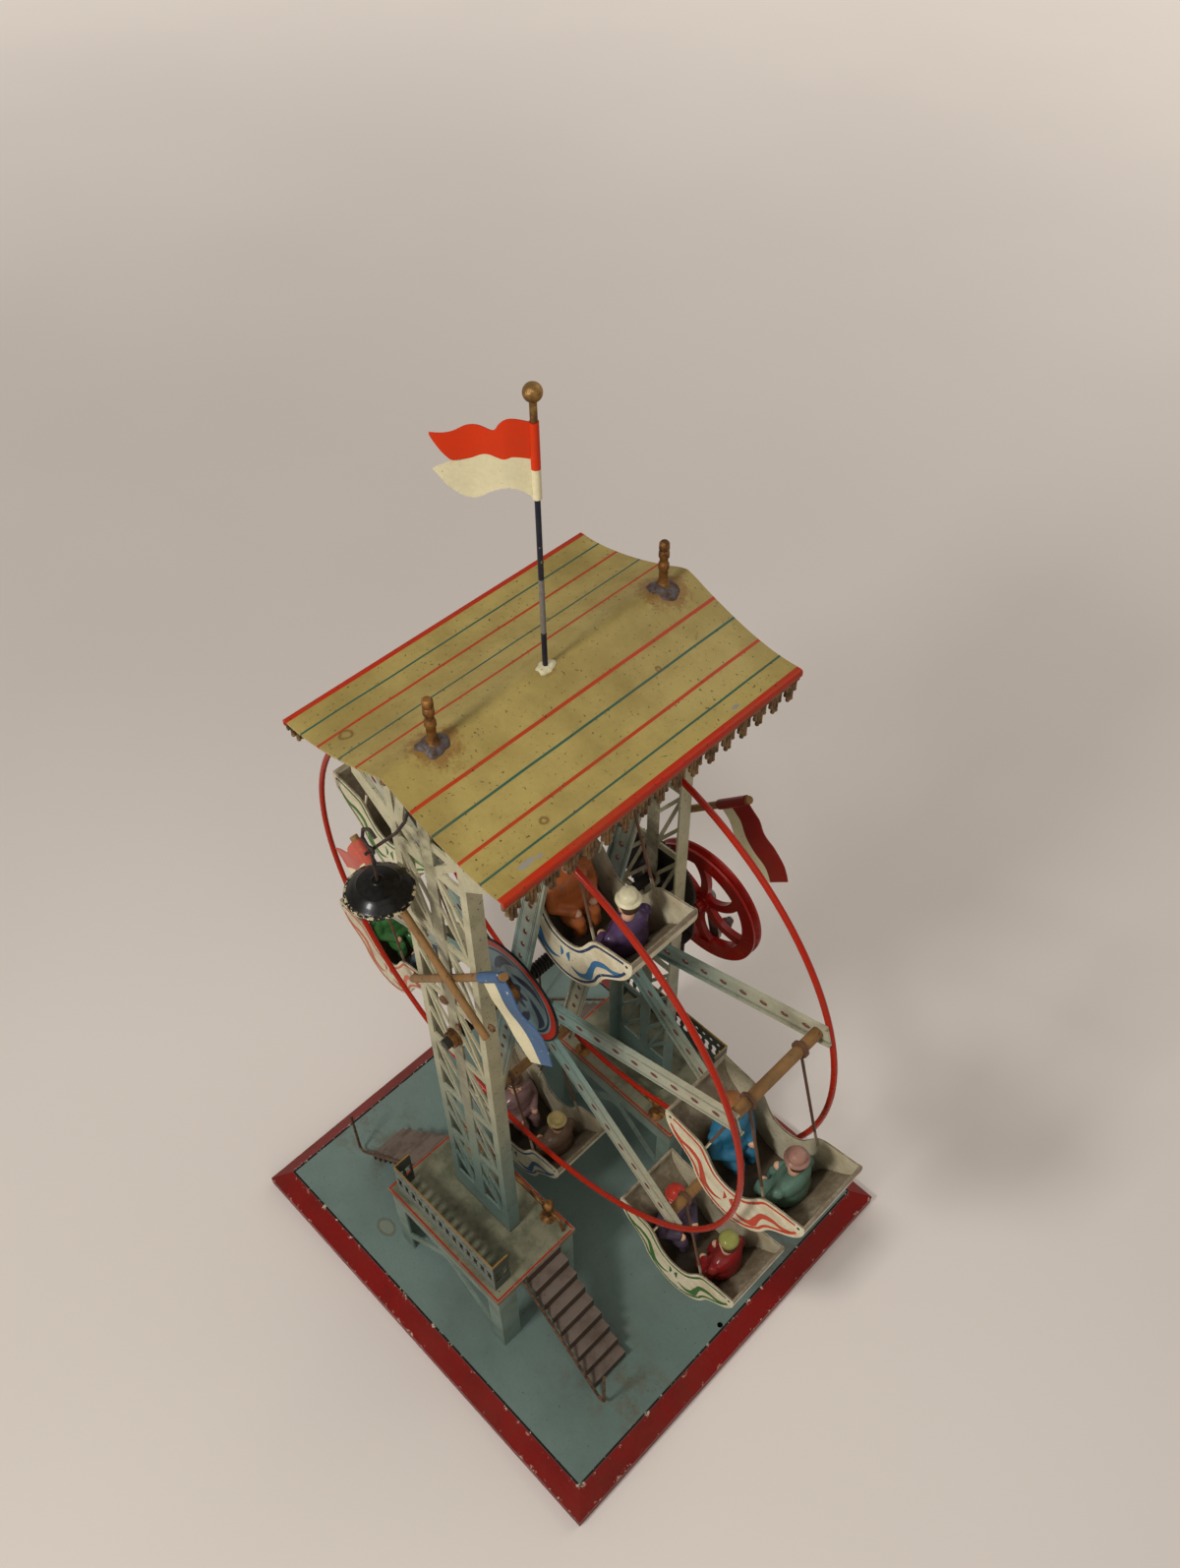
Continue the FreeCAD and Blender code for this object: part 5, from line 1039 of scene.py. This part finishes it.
def fusedBlobs(name, blobs, voxel):  # ellipsoids run together like a cast figure
    mesh = bmesh.new()
    for centre, radii in blobs:
        addBlob(mesh, centre, radii, 0, 3)
    holder = placeObject(name, plainMesh(name, mesh))
    melt = holder.modifiers.new("melt", "REMESH")
    melt.mode, melt.voxel_size = "VOXEL", voxel * mm
    soften = holder.modifiers.new("soften", "SMOOTH")
    soften.iterations, soften.factor = 4, 0.6
    return finalMesh(holder)


def limb(start, end, radii, steps=6):
    blobs = []
    for share in (index / steps for index in range(steps + 1)):
        radius = radii[0] + (radii[1] - radii[0]) * share
        blobs.append((tuple(start.lerp(end, share)), (radius, radius, radius)))
    return blobs


def riderCoat():
    look = riderLook
    blobs = list(look["coat"])
    for hand in (-1, 1):
        shoulder, elbow, palm = (Vector(look[key]) * Vector((1, hand, 1))
                                 for key in ("shoulder", "elbow", "hand"))
        blobs += limb(shoulder, elbow, look["arm"])
        blobs += limb(elbow, palm, (look["arm"][1], look["arm"][1] * 0.85))
    return fusedBlobs("riderCoat", blobs, look["voxel"])


def riderHead():
    x, y, z = riderLook["head"]
    blobs = [((x, 0, z), (3.3, 3.1, 3.9)), ((x - 0.6, 0, z - 2.0), (2.5, 2.4, 2.2)),
             ((x - 3.3, 0, z - 0.4), (0.8, 0.5, 0.7)),
             ((x + 0.2, 3.0, z - 0.3), (0.7, 0.45, 0.9)),
             ((x + 0.2, -3.0, z - 0.3), (0.7, 0.45, 0.9)), ((0, 0, -43.4), (2.1, 2.1, 2.8))]
    for hand in (-1, 1):
        blobs.append(((-7.6, hand * 3.6, -57.6), (1.7, 1.5, 1.4)))
    return fusedBlobs("riderHead", blobs, 0.3)


coatMesh, headMesh = riderCoat(), riderHead()


def addRiders(index, coats):
    rodX, rodZ = gondolaPlaces[index - 1]["rod"]
    mesh = bmesh.new()
    materials = [flesh, hair, blackEnamel]
    for sign, (name, coatPaint, hatName, hatPaint) in zip((-1, 1), coats):
        slots = len(materials)
        materials += [enamel(f"{name}Coat", coatPaint, gloss=0.24, coat=0.15, grimeShare=0.35,
                             grimeSize=5, chip=(96, 72, 56), chipLevel=0.70, chipSize=1.8),
                      enamel(f"{name}Hat", hatPaint, gloss=0.3, coat=0.1, grimeShare=0.35,
                             grimeSize=4, chip=(100, 78, 60), chipLevel=0.69, chipSize=1.5)]

        def seat(point):
            return Vector((rodX + sign * (riderLook["reach"] + point.x), sign * point.y,
                           rodZ + point.z))

        for source, material in ((coatMesh, slots), (headMesh, 0)):
            vertexCount, faceCount = len(mesh.verts), len(mesh.faces)
            mesh.from_mesh(source)
            mesh.verts.ensure_lookup_table()
            mesh.faces.ensure_lookup_table()
            for vertex in mesh.verts[vertexCount:]:
                vertex.co = seat(vertex.co / mm)
            for face in mesh.faces[faceCount:]:
                face.material_index = material
        hx, hz = riderLook["head"][::2]
        addBlob(mesh, seat(Vector((hx + 0.8, 0, hz + 0.6))), (3.1, 3.25, 3.6), 1, 3)
        for hand in (-1, 1):
            eye = seat(Vector((hx - 2.85, hand * 1.2, hz + 0.5)))
            addBlob(mesh, eye, (0.38, 0.38, 0.38), 2, 1)
        addLathe(mesh, hatShapes[hatName], seat(Vector((0.1, 0, hz + 1.9))), 32, slots + 1)
    addPiece(f"riderPair{index}", mesh, materials, f"gondola_{index}",
             [f"riders_{index}"], 50)


for index, coats in riderPlaces.items():
    addRiders(index, coats)


print("light, camera and floor")
cameraLook = {"place": (195.83, -175.90, 578.99), "yaw": 45.52, "down": 48.52, "roll": 0.757,
              "focal": 1353.54, "imageHeight": 1594.0, "sensor": 36.0}


def addCamera():
    look = cameraLook
    yaw, down, roll = (math.radians(look[key]) for key in ("yaw", "down", "roll"))
    forward = Vector((-math.sin(yaw) * math.cos(down), math.cos(yaw) * math.cos(down),
                      -math.sin(down)))
    right = forward.cross(Vector((0, 0, 1))).normalized()
    lower = forward.cross(right)
    right, lower = (right * math.cos(roll) + lower * math.sin(roll),
                    lower * math.cos(roll) - right * math.sin(roll))
    camera = placeObject("camera", bpy.data.cameras.new("camera"))
    turn = Matrix((right, -lower, -forward)).transposed().to_4x4()
    camera.matrix_world = Matrix.Translation(Vector(look["place"]) * mm) @ turn
    camera.data.sensor_fit = "VERTICAL"
    camera.data.sensor_height = look["sensor"]
    camera.data.lens = look["focal"] / look["imageHeight"] * look["sensor"]
    camera.data.clip_start = 0.01
    bpy.context.scene.camera = camera


lampLook = {
    "key": {"place": (0.028, -0.421, 0.610), "power": 2.3, "size": 0.09},
    "fill": {"place": (1.4, -0.6, 1.2), "power": 4.0, "size": 1.2},
    "back": {"place": (0.2, 1.5, 1.5), "power": 9.0, "size": 1.4},
}
roomLook = {"aim": (0, 0, 0.18), "air": (1.0, 0.97, 0.93, 1), "light": 0.40, "seen": 0.68}


def addLights():
    for name, look in lampLook.items():
        lamp = placeObject(name, bpy.data.lights.new(name, "AREA"))
        lamp.data.energy, lamp.data.size = look["power"], look["size"]
        lamp.visible_camera = False
        place = Vector(look["place"])
        aim = (Vector(roomLook["aim"]) - place).to_track_quat("-Z", "Y")
        lamp.matrix_world = Matrix.Translation(place) @ aim.to_matrix().to_4x4()
    world = bpy.data.worlds.new("softRoom")
    world.use_nodes = True
    tree, air = world.node_tree, world.node_tree.nodes["Background"].inputs
    seen = addNode(tree, "ShaderNodeLightPath").outputs["Is Camera Ray"]
    level = addNode(tree, "ShaderNodeMapRange", {  # paler where the camera sees it
        "Value": seen, "To Min": roomLook["light"], "To Max": roomLook["seen"]})
    air["Color"].default_value = roomLook["air"]
    feed(tree, level.outputs[0], air["Strength"])
    bpy.context.scene.world = world
    bpy.context.scene.view_settings.view_transform = "Standard"


floorLook = {"half": 6.0, "paper": (216, 205, 195), "shade": (212, 201, 191), "rough": 0.6,
             "fade": (250.0, 2200.0), "glow": 0.62}


def addFloor():
    look = floorLook
    mesh = bpy.data.meshes.new("floor")
    corners = [(x * look["half"], y * look["half"], 0)
               for x, y in ((-1, -1), (1, -1), (1, 1), (-1, 1))]
    mesh.from_pydata(corners, [], [(0, 1, 2, 3)])
    floor = placeObject("floor", mesh)
    finish = Finish("floorPaper")
    paper = finish.mix(finish.cloud(400, 3, 0.5).rise(0.3, 0.7), look["paper"], look["shade"])
    seen = addNode(finish.tree, "ShaderNodeLightPath").outputs
    shown = (Field(finish, seen["Is Camera Ray"]) | seen["Is Glossy Ray"]
             | seen["Is Transmission Ray"])
    glow = finish.spot(0, 0).root().rise(*look["fade"]) * look["glow"] * shown
    mesh.materials.append(finish.close(paper, look["rough"], glow=glow))


addCamera()
addLights()
addFloor()
